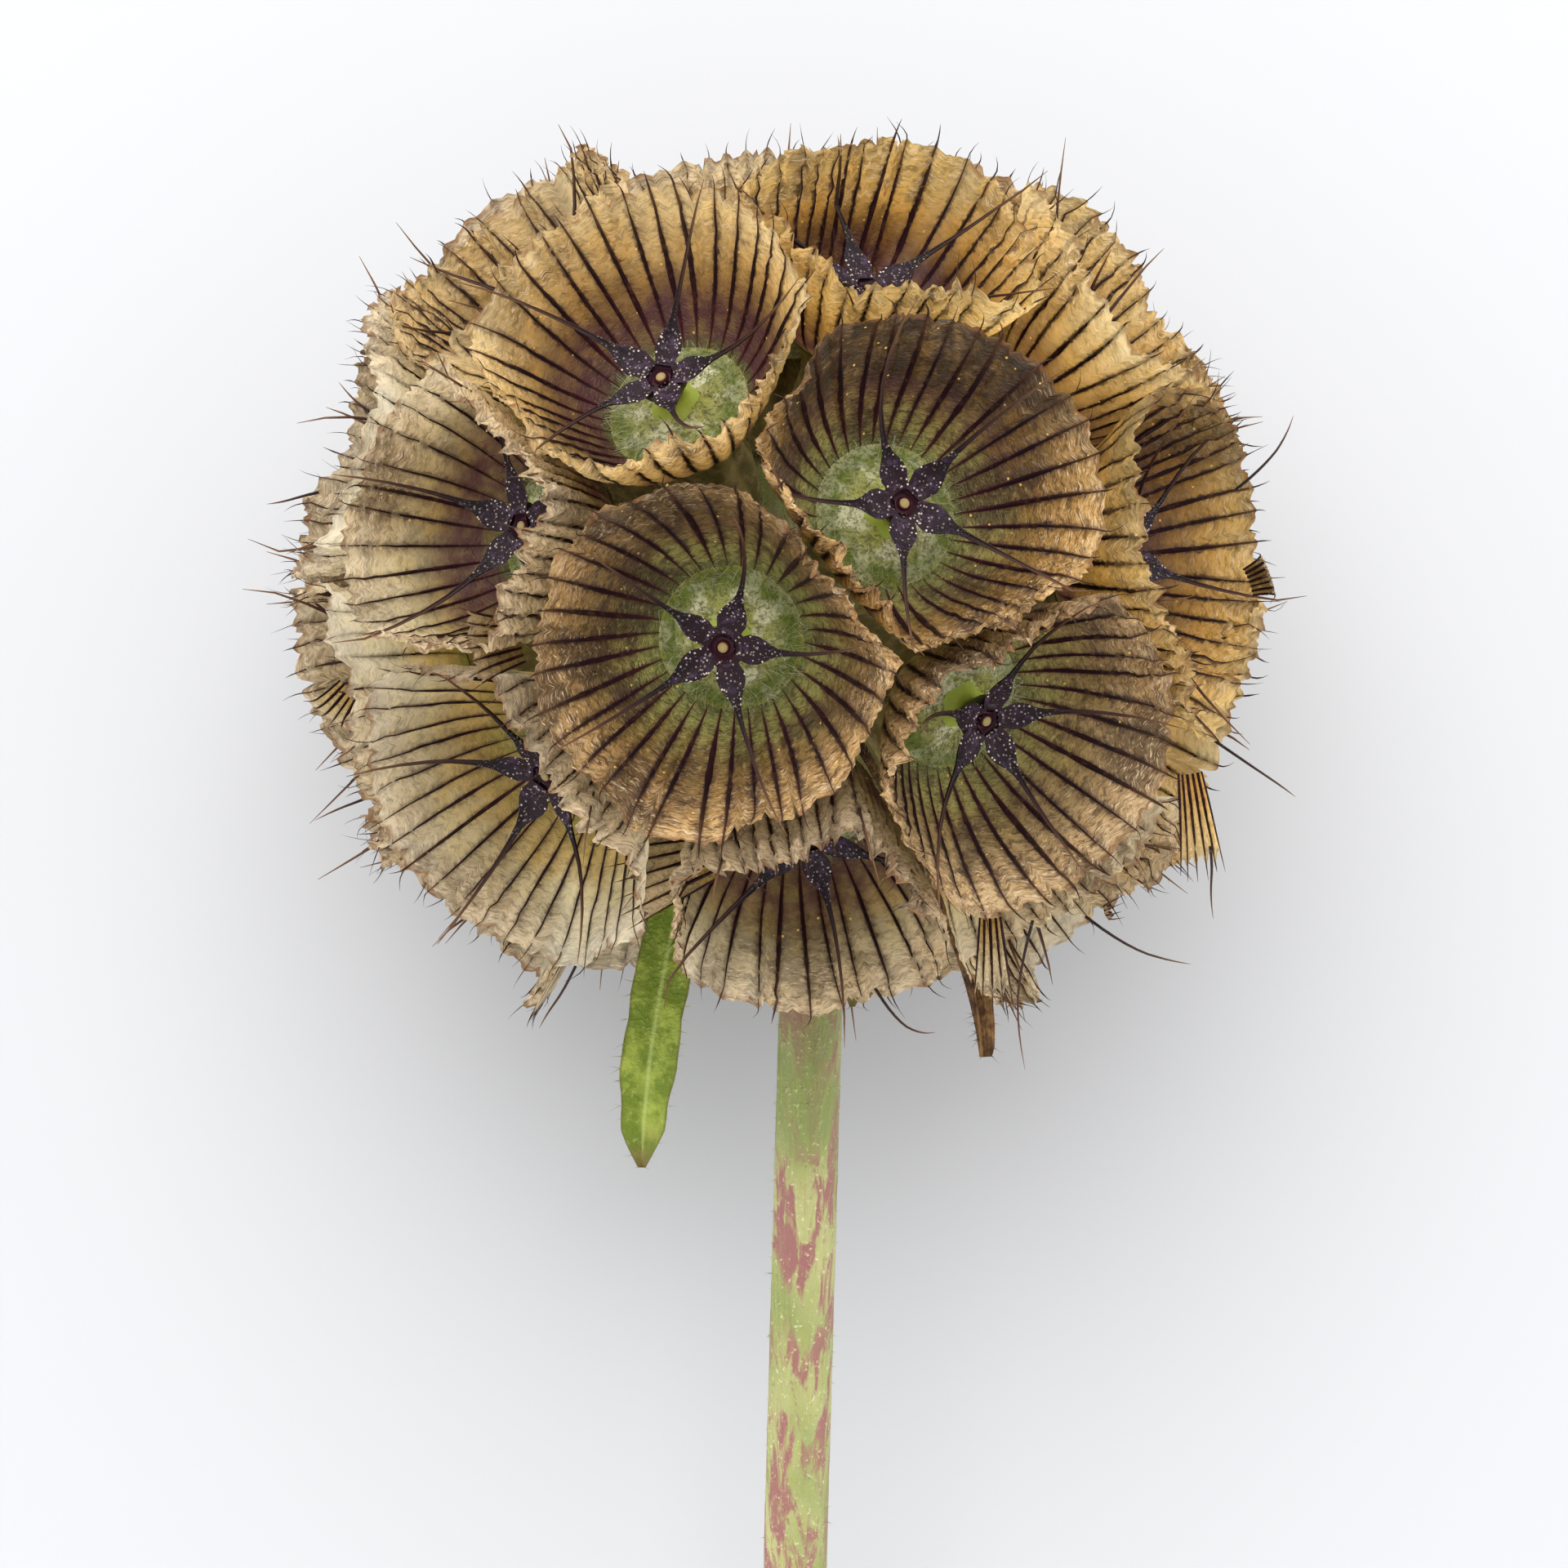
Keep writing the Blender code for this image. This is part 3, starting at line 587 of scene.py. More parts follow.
def add_ribs(shape, membrane, paleness, draw):
    """The dark ribs on the inside of the membrane, each drawn out into a spine past the rim."""
    inner, inwards, shares = membrane
    columns = np.arange(RIBS) * (inner.shape[1] // RIBS)
    rows = np.linspace(0, len(shares) - 1, RIB_STAGES).round().astype(int)
    along = inner[rows][:, columns].transpose(1, 0, 2)
    normal = inwards[rows][:, columns].transpose(1, 0, 2)
    tangent = unit(along[:, -1] - along[:, -2])
    aside = np.cross(tangent, normal[:, -1])
    length = draw.uniform(0.3, 0.95, RIBS)[:, None] * MM
    bend = draw.normal(0, 0.25, (RIBS, 1)) * aside + draw.normal(-0.05, 0.2, (RIBS, 1)) * normal[:, -1]
    spine = [along[:, -1] + (tangent + bend * share * 1.4) * length * share for share in SPINE_STAGES]
    paths = np.concatenate((along, np.stack(spine, axis=1)), axis=1)
    facing = np.concatenate((normal, np.repeat(normal[:, -1:], len(SPINE_STAGES), axis=1)), axis=1)
    paths = paths + facing * 0.02 * MM
    stages = np.concatenate((shares[rows], 1 + SPINE_SHARE * np.array(SPINE_STAGES)))
    width = np.interp(stages, *RIB_WIDTHS) * MM
    width = width * draw.uniform(0.5, 1.15, (RIBS, 1)) * draw.uniform(0.75, 1.25, paths.shape[:2])
    width = width * (1 - 0.3 * paleness)
    radii = np.stack((width, width * 0.9), axis=-1)
    add_tubes(shape, paths, facing, radii, RIB_SECTION, 1, stages, floor=RIB_FLOOR)


def add_disc(shape, fruit, draw):
    """The domed disc in the middle of the cup, felted with short hairs."""
    _, spokes = ring_of(fruit, DISC_COLUMNS)
    shares = np.linspace(0.12, 1, DISC_RINGS)[:, None]
    turns = np.arange(DISC_COLUMNS)[None] / DISC_COLUMNS
    level = DISC_HEIGHT - fruit["sink"]
    lumps = 0.05 * MM * ripples(draw, turns, shares, *DISC_LUMPS)
    height = level + DISC_DOME * (1 - shares**2) + lumps
    points = HEAD_CENTRE + around_axis(fruit, spokes, (DISC_RADIUS + 0.05 * MM) * shares, height)
    shape.add(points, 2, grid(shares[:, 0], DISC_COLUMNS))
    around, out = draw.uniform(0, TURN, DISC_HAIRS), np.sqrt(draw.uniform(0.12, 1.12, DISC_HAIRS))
    height = level + DISC_DOME * (1 - out**2)
    root = HEAD_CENTRE + around_axis(fruit, spokes_of(fruit, around), DISC_RADIUS * out, height)
    lean = spokes_of(fruit, around + draw.normal(0, 0.9, DISC_HAIRS))
    ways = unit(lean + fruit["axis"] * draw.uniform(0.1, 0.8, DISC_HAIRS)[:, None])
    lengths = draw.uniform(*DISC_HAIR_LENGTHS, DISC_HAIRS) * MM
    add_needles(shape, root, ways, lengths, draw.uniform(*DISC_HAIR, DISC_HAIRS) * MM, 3)


def add_fruit_tube(shape, fruit, draw):
    """The ridged, downy tube that holds the seed, from the receptacle up to the disc."""
    angles, spokes = ring_of(fruit, TUBE_COLUMNS)
    profile = np.array(TUBE_PROFILE)
    out, level = profile[:, 0] * MM, profile[:, 1] * MM
    level = level - fruit["sink"] * np.clip((level - 8 * MM) / (4 * MM), 0, 1)
    ridges = np.abs(np.cos(TUBE_RIDGES / 2 * angles)) - 0.6
    radius = out[:, None] + FURROW_DEPTH * profile[:, 2:] * ridges
    points = HEAD_CENTRE + around_axis(fruit, spokes, radius, level[:, None])
    shares = np.linspace(0, 1, len(profile))
    shape.add(points, 4, grid(shares, TUBE_COLUMNS, TUBE_RIDGES, flip=False))
    spokes = spokes_of(fruit, draw.uniform(0, TURN, TUBE_HAIRS))
    height = draw.uniform(5.4, 10.5, TUBE_HAIRS) * MM
    ways = unit(spokes + fruit["axis"] * draw.uniform(0.3, 1.5, TUBE_HAIRS)[:, None])
    root = HEAD_CENTRE + around_axis(fruit, spokes, np.interp(height, level, out), height)
    add_needles(shape, root, ways, draw.uniform(*TUBE_HAIR_LENGTHS, TUBE_HAIRS) * MM, TUBE_HAIR, 3)


def make_cup(fruit, planes, materials):
    """One fruit's membrane with its ribs, its disc and its tube."""
    number = fruit["number"]
    draw = np.random.default_rng(CUP_SEED + number)
    tint = (*draw.uniform(0.2, 0.8, 3), 0.2)
    if number <= len(FRUIT_TINTS):
        tint = FRUIT_TINTS[number - 1]
    shape = Shape()
    add_ribs(shape, add_membrane(shape, fruit, planes, tint, draw), tint[0], draw)
    add_disc(shape, fruit, draw)
    add_fruit_tube(shape, fruit, draw)
    shape.build(f"paper_cup_{number:02d}", materials, (f"cup_{number:02d}",))


LOBES = 5
# A lobe along its length: radius, rise above the hub, half width and half thickness, in mm
LOBE_LINE = (
    (0.45, -0.02, 0.36, 0.16), (0.75, 0.05, 0.44, 0.15), (1.05, 0.15, 0.54, 0.13),
    (1.35, 0.27, 0.50, 0.11), (1.62, 0.40, 0.37, 0.095), (1.86, 0.54, 0.23, 0.09),
    (2.15, 0.72, 0.135, 0.085), (2.65, 1.00, 0.095, 0.075), (3.30, 1.38, 0.078, 0.066),
    (4.00, 1.88, 0.066, 0.056), (4.80, 2.55, 0.054, 0.046), (5.60, 3.30, 0.038, 0.034),
    (6.35, 4.05, 0.008, 0.008),
)
LEAFY_STAGES = 6
LOBE_SECTION = (
    (1.0, 0.85), (0.72, 0.9), (0.3, 0.2), (-0.3, 0.2), (-0.72, 0.9),
    (-1.0, 0.85), (-0.75, -0.35), (-0.25, -1.0), (0.25, -1.0), (0.75, -0.35),
)
AWN_CLEARANCE = 0.35 * MM
# How far the awns may stand out of the CAD model's box
AWN_MARGIN = 1.0 * MM
# The hub's outside from the middle dot over its rim and down the cup to the stipe, in mm
HUB_PROFILE = (
    (0.03, 0.03), (0.17, 0.02), (0.21, -0.04), (0.27, -0.14), (0.40, -0.16), (0.50, -0.05),
    (0.58, 0.08), (0.68, 0.09), (0.80, -0.05), (0.84, -0.3), (0.76, -0.6), (0.6, -0.85),
    (0.5, -1.0), (0.5, -1.15), (0.66, -1.4), (1.0, -1.66), (1.15, -1.8),
)
HUB_COLUMNS = 30


def add_lobes(shape, fruit, planes, draw):
    """The five lobes: leafy at their foot, folded along the middle and drawn out into awns."""
    line = np.array(LOBE_LINE)
    stages = len(line)
    turn = math.radians(fruit["turn"]) + draw.normal(0, 0.03)
    lobes = turn + np.arange(LOBES) * TURN / LOBES + draw.normal(0, 0.05, LOBES)
    reach = np.concatenate((np.zeros(LEAFY_STAGES), np.linspace(0, 1, stages - LEAFY_STAGES)))
    curl = draw.normal(0, 0.16, (LOBES, 1)) * reach**1.6
    length = 1 + draw.normal(0.02, 0.09, (LOBES, 1)) * reach
    lift = draw.normal(0, 0.12, (LOBES, 1)) * reach + draw.normal(0, 0.05, (LOBES, 1))
    height = STAR_HEIGHT - fruit["sink"] + line[:, 1] * MM * (1 + lift)
    paths = around_axis(fruit, spokes_of(fruit, lobes[:, None] + curl), line[:, 0] * MM * length, height)
    paths = held_back(paths, planes, AWN_CLEARANCE, AWN_FLOOR)
    paths = np.clip(paths, np.array(CAD_BOX[0]) - AWN_MARGIN, np.array(CAD_BOX[1]) + AWN_MARGIN)
    facing = np.broadcast_to(fruit["axis"], paths.shape)
    fat = 1 + draw.normal(0, 0.06, (LOBES, 1, 1))
    radii = line[:, 2:] * fat * MM
    add_tubes(shape, paths, facing, radii, LOBE_SECTION, 0, np.linspace(0, 1, stages), floor=STAR_FLOOR)
    return paths, facing, radii


def add_hub(shape, fruit):
    """The dished middle of the star, and under it the cup and the pale stipe down to the disc."""
    angles, spokes = ring_of(fruit, HUB_COLUMNS)
    profile = np.array(HUB_PROFILE) * MM
    lobed = np.interp(profile[:, 0], (0.4 * MM, 0.85 * MM), (0, 1))[:, None]
    radius = profile[:, :1] * (1 + 0.1 * lobed * np.cos(LOBES * (angles - angles[0])))
    level = STAR_HEIGHT - fruit["sink"] + profile[:, 1:]
    points = above(HEAD_CENTRE + around_axis(fruit, spokes, radius, level), STAR_FLOOR)
    shape.add(points, 1, grid(np.linspace(0, 1, len(profile)), HUB_COLUMNS))
    k = np.arange(HUB_COLUMNS)
    fan = np.stack((k, (k + 1) % HUB_COLUMNS, np.full(HUB_COLUMNS, HUB_COLUMNS)), axis=-1)
    close_ends(shape, 1, fan, *(np.vstack((points[at], points[at].mean(axis=0))) for at in (0, -1)))


def add_star_hairs(shape, paths, facing, radii, draw):
    """The short pale bristles over the lobes."""
    lobe = draw.integers(0, LOBES, STAR_HAIRS)
    along = draw.uniform(0.1, 6.5, STAR_HAIRS)
    low = along.astype(int)
    part = (along - low)[:, None]
    centre = paths[lobe, low] * (1 - part) + paths[lobe, low + 1] * part
    tangent = unit(paths[lobe, low + 1] - paths[lobe, low])
    face = facing[lobe, low]
    side = np.cross(tangent, face)
    width = radii[lobe, low, :1] * (1 - part) + radii[lobe, low + 1, :1] * part
    across = (draw.choice((-1, 1), STAR_HAIRS) * draw.uniform(0, 1, STAR_HAIRS) ** 0.5)[:, None]
    root = centre + side * across * width + face * 0.06 * MM
    ways = unit(face + side * 0.8 * across + tangent * draw.normal(0.4, 0.4, STAR_HAIRS)[:, None])
    add_needles(shape, root, ways, draw.uniform(*STAR_HAIR_LENGTHS, STAR_HAIRS) * MM, STAR_HAIR, 2)


def make_star(fruit, planes, materials):
    """One fruit's calyx: the lobes with their awns, the hub and the bristles."""
    number = fruit["number"]
    draw = np.random.default_rng(STAR_SEED + number)
    shape = Shape()
    paths, facing, radii = add_lobes(shape, fruit, planes, draw)
    add_hub(shape, fruit)
    add_star_hairs(shape, paths, facing, radii, draw)
    shape.build(f"calyx_star_{number:02d}", materials, (f"star_{number:02d}",), sharp=40)


# The stem's line, as places in mm to the right and up from the head's centre
STEM_LINE = ((0.6, -2.0), (1.0, -9.0), (1.2, -16.0), (0.7, -34.0), (0.0, -60.0), (-0.8, -88.0))
NECK_FLARE = 0.35
NECK_LENGTH = 5.0 * MM
STEM_RINGS = 150
STEM_COLUMNS = 32
# The cut end: shares of the stem's radius, and how far each ring stands out of the cut
CUT_RINGS = ((1.0, 0.0), (0.9, -0.06), (0.35, 0.1), (0.02, 0.15))
KNOB_ROWS, KNOB_COLUMNS = 24, 48


def make_stem(materials):
    """The stem: faintly ridged and knobbly, with a cut end and short stiff hairs."""
    draw = np.random.default_rng(STEM_SEED)
    guide = np.array(STEM_LINE) * MM
    ups = np.linspace(guide[0, 1], guide[-1, 1], STEM_RINGS)
    aside = np.interp(-ups, -guide[:, 1], guide[:, 0])
    centre = HEAD_CENTRE + np.outer(aside, RIGHT) + np.outer(ups, UP)
    angles = np.arange(STEM_COLUMNS) * TURN / STEM_COLUMNS
    shares = np.linspace(0, 1, STEM_RINGS)
    flare = 1 + NECK_FLARE * np.exp(-(((ups - ups[0]) / NECK_LENGTH) ** 2))
    bumps = 0.012 * ripples(draw, angles[None] / TURN, shares[:, None], *STEM_BUMPS)
    ridges = 0.018 * np.cos(9 * angles)[None] + 0.012 * np.cos(14 * angles + 1)[None]
    radius = (STEM_RADIUS - 0.03 * MM) * flare[:, None] * (1 + bumps + ridges)
    out = np.multiply.outer(np.cos(angles), RIGHT) + np.multiply.outer(np.sin(angles), FRONT)
    points = above(centre[:, None] + out[None] * radius[..., None], 0.0)
    shape = Shape()
    shape.add(points, 0, grid(shares, STEM_COLUMNS))
    rings, rise = np.array(CUT_RINGS).T[:, :, None, None]
    end = centre[-1] + (points[-1] - centre[-1])[None] * rings + UP * rise * MM
    shape.add(above(end, 0.0), 1, grid(rings[:, 0, 0], STEM_COLUMNS))
    along = draw.integers(12, STEM_RINGS - 2, STEM_HAIRS)
    around = draw.integers(0, STEM_COLUMNS, STEM_HAIRS)
    root = points[along, around]
    ways = out[around] + np.outer(draw.normal(-0.35, 0.4, STEM_HAIRS), UP)
    ways = unit(ways + 0.3 * np.cross(out[around], UP) * draw.normal(0, 1, STEM_HAIRS)[:, None])
    keep = root[:, 2] > 0.3 * MM
    lengths = draw.uniform(*STEM_HAIR_LENGTHS, STEM_HAIRS) * MM
    add_needles(shape, root[keep], ways[keep], lengths[keep], STEM_HAIR, 2)
    shape.build("hairy_stem", materials, ("stem",))


def make_receptacle(materials):
    """The lumpy, downy knob that the fruits stand on."""
    draw = np.random.default_rng(KNOB_SEED)
    polar = np.linspace(0.02, math.pi - 0.02, KNOB_ROWS)[:, None]
    angles = np.arange(KNOB_COLUMNS)[None] * TURN / KNOB_COLUMNS
    lumps = 1 + 0.02 * ripples(draw, angles / TURN, polar / math.pi, *KNOB_LUMPS)
    radius = ((RECEPTACLE_RADIUS - 0.1 * MM) * lumps)[..., None]
    flat = np.cos(angles)[..., None] * RIGHT + np.sin(angles)[..., None] * FRONT
    points = HEAD_CENTRE + radius * (np.sin(polar)[..., None] * flat + np.cos(polar)[..., None] * UP)
    shape = Shape()
    shape.add(points, 0, grid(np.linspace(0, 1, KNOB_ROWS), KNOB_COLUMNS))
    way = unit(draw.normal(0, 1, (KNOB_HAIRS, 3)))
    root = HEAD_CENTRE + way * (RECEPTACLE_RADIUS - 0.15 * MM)
    keep = np.linalg.norm(way - UP, axis=1) > 0.2
    leaning = unit(way + 0.5 * draw.normal(0, 1, way.shape))[keep]
    lengths = draw.uniform(*KNOB_HAIR_LENGTHS, keep.sum()) * MM
    add_needles(shape, root[keep], leaning, lengths, KNOB_HAIR, 1)
    shape.build("receptacle_knob", materials, ())


# Bracts: azimuth round the stem from the viewer's right and how far the blade twists by its tip, in
# degrees, then length, half width and how far the tip stands from the stem's line, in mm
GREEN_BRACTS = (
    (166, 98, 17.9, 1.05, 5.2), (112, 10, 10.5, 0.9, 4.6), (58, -15, 12.0, 0.95, 5.2),
    (285, 10, 8.6, 0.85, 3.9), (232, -10, 8.0, 0.85, 3.8),
)
DRY_BRACT = (14, -50, 12.3, 0.6, 7.9)
GREEN_BRACT_ROOT = (1.3 * MM, -3.9 * MM)
DRY_BRACT_ROOT = (2.7 * MM, -5.4 * MM)
BRACT_ARCH = 1.7
BRACT_STAGES = 40
BRACT_TURNING = 2.2
# Where the middle of a bract's face lies round its section, in turns
BRACT_MIDDLE = 4 / 18
BRACT_SECTION = (
    (-1.0, 0.22), (-0.75, 0.2), (-0.5, 0.14), (-0.25, 0.08), (0.0, 0.0), (0.25, 0.08), (0.5, 0.14),
    (0.75, 0.2), (1.0, 0.22), (1.0, 0.16), (0.75, 0.08), (0.5, 0.02), (0.2, -0.08), (0.0, -0.2),
    (-0.2, -0.08), (-0.5, 0.02), (-0.75, 0.08), (-1.0, 0.16),
)
# Shares of a bract's length, and of its half width there
LEAF_WIDTHS = ((0, 0.15, 0.4, 0.8, 0.93, 1.0), (0.6, 0.75, 1.0, 1.0, 0.75, 0.14))
BLUNT_WIDTHS = ((0, 0.3, 0.6, 0.85, 0.97, 1.0), (0.7, 0.9, 1.0, 0.95, 0.85, 0.6))


def bract_line(root, azimuth, length, spread, twist):
    """Points along a bract's middle, the way across it and the way out of its face."""
    turn = math.radians(azimuth)
    out = math.cos(turn) * RIGHT - math.sin(turn) * FRONT
    aside = math.sin(turn) * RIGHT + math.cos(turn) * FRONT
    share = np.linspace(0, 1, BRACT_STAGES)[:, None]
    arch = 1 - (1 - share) ** BRACT_ARCH
    line = HEAD_CENTRE + (root[0] + (spread - root[0]) * arch) * out + (root[1] - length * share) * UP
    angle = np.radians(twist) * np.minimum(share * BRACT_TURNING, 1)
    across = np.cos(angle) * aside + np.sin(angle) * out
    face = unit(np.cos(angle) * out - np.sin(angle) * aside + 0.5 * (1 - share) * UP)
    return line, across, face, share[:, 0]


def make_bract(name, root, row, draw, materials, replaced, widths=LEAF_WIDTHS, curl=0.0):
    """A lance-shaped leaf with a keel below, wavy edges and a fringe of hairs."""
    azimuth, twist = row[:2]
    length, half_width, spread = np.array(row[2:]) * MM
    line, across, face, share = bract_line(root, azimuth, length, spread, twist)
    width = np.interp(share, *widths) * half_width
    section = np.array(BRACT_SECTION)
    edge = 1 + 0.03 * np.sin(share * 37 + draw.uniform(0, 6)) + 0.02 * np.sin(share * 71)
    thick = MM * (1 + curl * np.sin(share * math.pi)) * (0.35 + 0.65 * width / half_width)
    aside = np.outer(width * edge, section[:, 0])[..., None] * across[:, None]
    corners = line[:, None] + aside + np.outer(thick, section[:, 1])[..., None] * face[:, None]
    corners = above(corners, BRACT_FLOOR)
    shape = Shape()
    shape.add(corners, 0, grid(share, len(section), flip=False))
    close_ends(shape, 0, fan_of(len(section)), corners[0], corners[-1])
    at = draw.integers(6, BRACT_STAGES, BRACT_HAIRS)
    side = draw.choice((-1.0, 1.0), BRACT_HAIRS)[:, None]
    root_at = line[at] + across[at] * side * width[at][:, None] + face[at] * 0.18 * MM
    ways = across[at] * side - UP * draw.uniform(-0.3, 0.8, BRACT_HAIRS)[:, None]
    ways = unit(ways + face[at] * draw.normal(0, 0.3, BRACT_HAIRS)[:, None])
    add_needles(shape, root_at, ways, draw.uniform(*BRACT_HAIR_LENGTHS, BRACT_HAIRS) * MM, BRACT_HAIR, 1)
    shape.build(name, materials, replaced)


# Curled flaps of torn membrane: the root's place in the photo in pixels and its height above the
# head's centre in mm, the way the ribs run in degrees from the viewer's right, tilt towards the
# viewer, length and width in mm, how far it curls and rolls in degrees, ribs, and its tint
FLAPS = (
    (872, 1038, 11.2, 194, -15, 3.1, 3.9, 30, 25, 7, (0.6, 0.2, 0.0)),
    (1446, 948, 6.6, 278, 10, 3.6, 1.8, -50, 110, 5, (0.3, 0.9, 0.0)),
    (1205, 1120, 8.6, 272, 15, 2.9, 1.5, -35, 95, 4, (0.6, 0.4, 0.0)),
    (1522, 716, 4.0, 20, 25, 2.1, 1.9, 95, 60, 6, (0.2, 0.3, 0.0)),
    (1352, 1112, 6.0, 200, 30, 1.0, 0.7, 120, 80, 3, (0.1, 0.1, 0.0)),
    (436, 846, 3.6, 235, 20, 2.4, 2.0, 70, 70, 5, (0.6, 0.3, 0.0)),
    (650, 792, 12.4, 190, 30, 2.8, 2.8, 40, 40, 6, (0.3, 0.2, 0.4)),
)
FLAP_ROWS = 15
FLAP_PER_RIB = 6
FLAP_START = 0.3


def photo_place(x, y, front):
    """The point of the row that shows at a pixel of the photo, at a height above the head's centre."""
    return head_place((x - HEAD_IN_PHOTO[0]) * PIXEL_SIZE, (HEAD_IN_PHOTO[1] - y) * PIXEL_SIZE, front * MM)


def make_flap(number, row, draw, materials):
    """A torn, curled bit of a cup's membrane, with its ribs and their spines."""
    x, y, front, way, tilt, length, width, curl, roll, ribs, tint = row
    way, tilt, curl, roll = np.radians((way, tilt, curl, roll))
    across = math.cos(way) * UP - math.sin(way) * RIGHT
    along = math.cos(tilt) * (math.cos(way) * RIGHT + math.sin(way) * UP) + math.sin(tilt) * FRONT
    normal = np.cross(along, across)
    columns = ribs * FLAP_PER_RIB + 1
    sides = np.linspace(-1, 1, columns)[None]
    shares = np.linspace(0, 1, FLAP_ROWS)[:, None]
    between = 0.5 - 0.5 * np.cos(TURN * ribs * (sides + 1) / 2)
    ragged = 1 - 0.1 * between - draw.uniform(0, 0.09, (1, columns)) * between**0.5
    bend, turned = curl * shares * ragged, roll * sides / 2
    half = width * (0.55 + 0.45 * shares) / roll
    crumple = 0.07 * ripples(draw, sides / 2, shares, *FLAP_FOLDS)
    lift = length * (1 - np.cos(bend)) / curl + half * (1 - np.cos(turned))
    lift = lift - 0.05 * between + crumple * shares
    parts = ((length * np.sin(bend) / curl, along), (half * np.sin(turned), across), (lift, normal))
    points = photo_place(x, y, front) + MM * sum(size[..., None] * side for size, side in parts)
    shape = Shape()
    levels = FLAP_START + (1 - FLAP_START) * shares[:, 0]
    repeats = ribs * columns / (columns - 1)
    shape.add(points, 0, grid(levels, columns, repeats, closed=False, flip=False), tint=tint)
    lines = points[:, ::FLAP_PER_RIB].transpose(1, 0, 2)
    reach = np.array((0.3, 0.75))[None, :, None] * draw.uniform(0.5, 1.0, (ribs + 1, 1, 1)) * MM
    spine = lines[:, -1:] + unit(lines[:, -1] - lines[:, -3])[:, None] * reach
    lines = np.concatenate((lines[:, ::2], spine), axis=1)
    stages = np.linspace(FLAP_START, 1.15, lines.shape[1])
    size = 0.55 * np.interp(stages, *RIB_WIDTHS) * MM * draw.uniform(0.7, 1.2, (ribs + 1, 1))
    facing = np.broadcast_to(normal, lines.shape)
    add_tubes(shape, lines, facing, np.stack((size, size), axis=-1), RIB_SECTION, 1, stages)
    shape.build(f"torn_flap_{number}", materials, ())


# Awns of stars behind, which stick out past the cups: places in the photo's pixels and heights in
# mm above the head's centre, from root to tip
STRAY_AWNS = (
    ((1258, 1112, 9.0), (1240, 1180, 9.4), (1236, 1240, 8.6), (1250, 1312, 7.0)),
    ((1312, 1112, 6.6), (1372, 1156, 6.2), (1420, 1172, 5.4), (1456, 1178, 4.4)),
    ((1468, 900, 4.6), (1520, 936, 4.6), (1560, 962, 4.2), (1582, 978, 3.6)),
    ((1064, 1196, 8.6), (1092, 1240, 8.6), (1120, 1258, 8.2), (1144, 1256, 7.6)),
    ((400, 606, 3.4), (376, 612, 3.6), (352, 619, 3.4), (330, 621, 3.0)),
    ((470, 972, 5.0), (445, 982, 5.2), (418, 992, 5.0), (390, 1006, 4.4)),
    ((724, 1150, 7.6), (698, 1206, 7.6), (678, 1232, 7.2), (665, 1256, 6.6)),
    ((1470, 1030, 6.4), (1474, 1060, 6.2), (1472, 1090, 5.6), (1478, 1128, 4.6)),
    ((1500, 610, 3.2), (1545, 572, 3.4), (1568, 540, 3.2), (1580, 508, 2.6)),
    ((470, 520, 4.0), (452, 505, 4.2), (438, 494, 4.0), (418, 470, 3.4)),
)
AWN_STAGES = 13
AWN_CORNERS = 6
AWN_WIDTHS = ((0, 0.3, 0.7, 1.0), (0.06, 0.05, 0.035, 0.006))


def make_stray_awns(materials):
    """The awns that stick out, each a smoothed line through its places."""
    guide = np.array([[photo_place(*place) for place in row] for row in STRAY_AWNS])
    share = np.linspace(0, 1, AWN_STAGES)
    known = np.linspace(0, 1, guide.shape[1])
    weights = [np.interp(share, known, row) for row in np.eye(len(known))]
    smooth = [np.convolve(np.pad(row, 2, mode="edge"), np.ones(5) / 5, "valid") for row in weights]
    paths = np.einsum("ks,akc->asc", np.array(smooth), guide)
    size = np.broadcast_to(np.interp(share, *AWN_WIDTHS) * MM, paths.shape[:2])
    angles = np.arange(AWN_CORNERS) * TURN / AWN_CORNERS
    section = np.stack((np.cos(angles), np.sin(angles)), axis=-1)
    facing = np.broadcast_to(FRONT, paths.shape)
    shape = Shape()
    add_tubes(shape, paths, facing, np.stack((size, size), axis=-1), section, 0, 0.5 + 0.5 * share)
    shape.build("stray_awns", materials, ())


LIGHTEST = 0.92


def shade(red, green, blue, gain=1.0):
    """A linear colour from screen values of 0 to 255, made lighter by the gain."""
    linear = [((value / 255 + 0.055) / 1.055) ** 2.4 * gain for value in (red, green, blue)]
    fit = min(1.0, LIGHTEST / max(linear))
    return (*[value * fit for value in linear], 1.0)


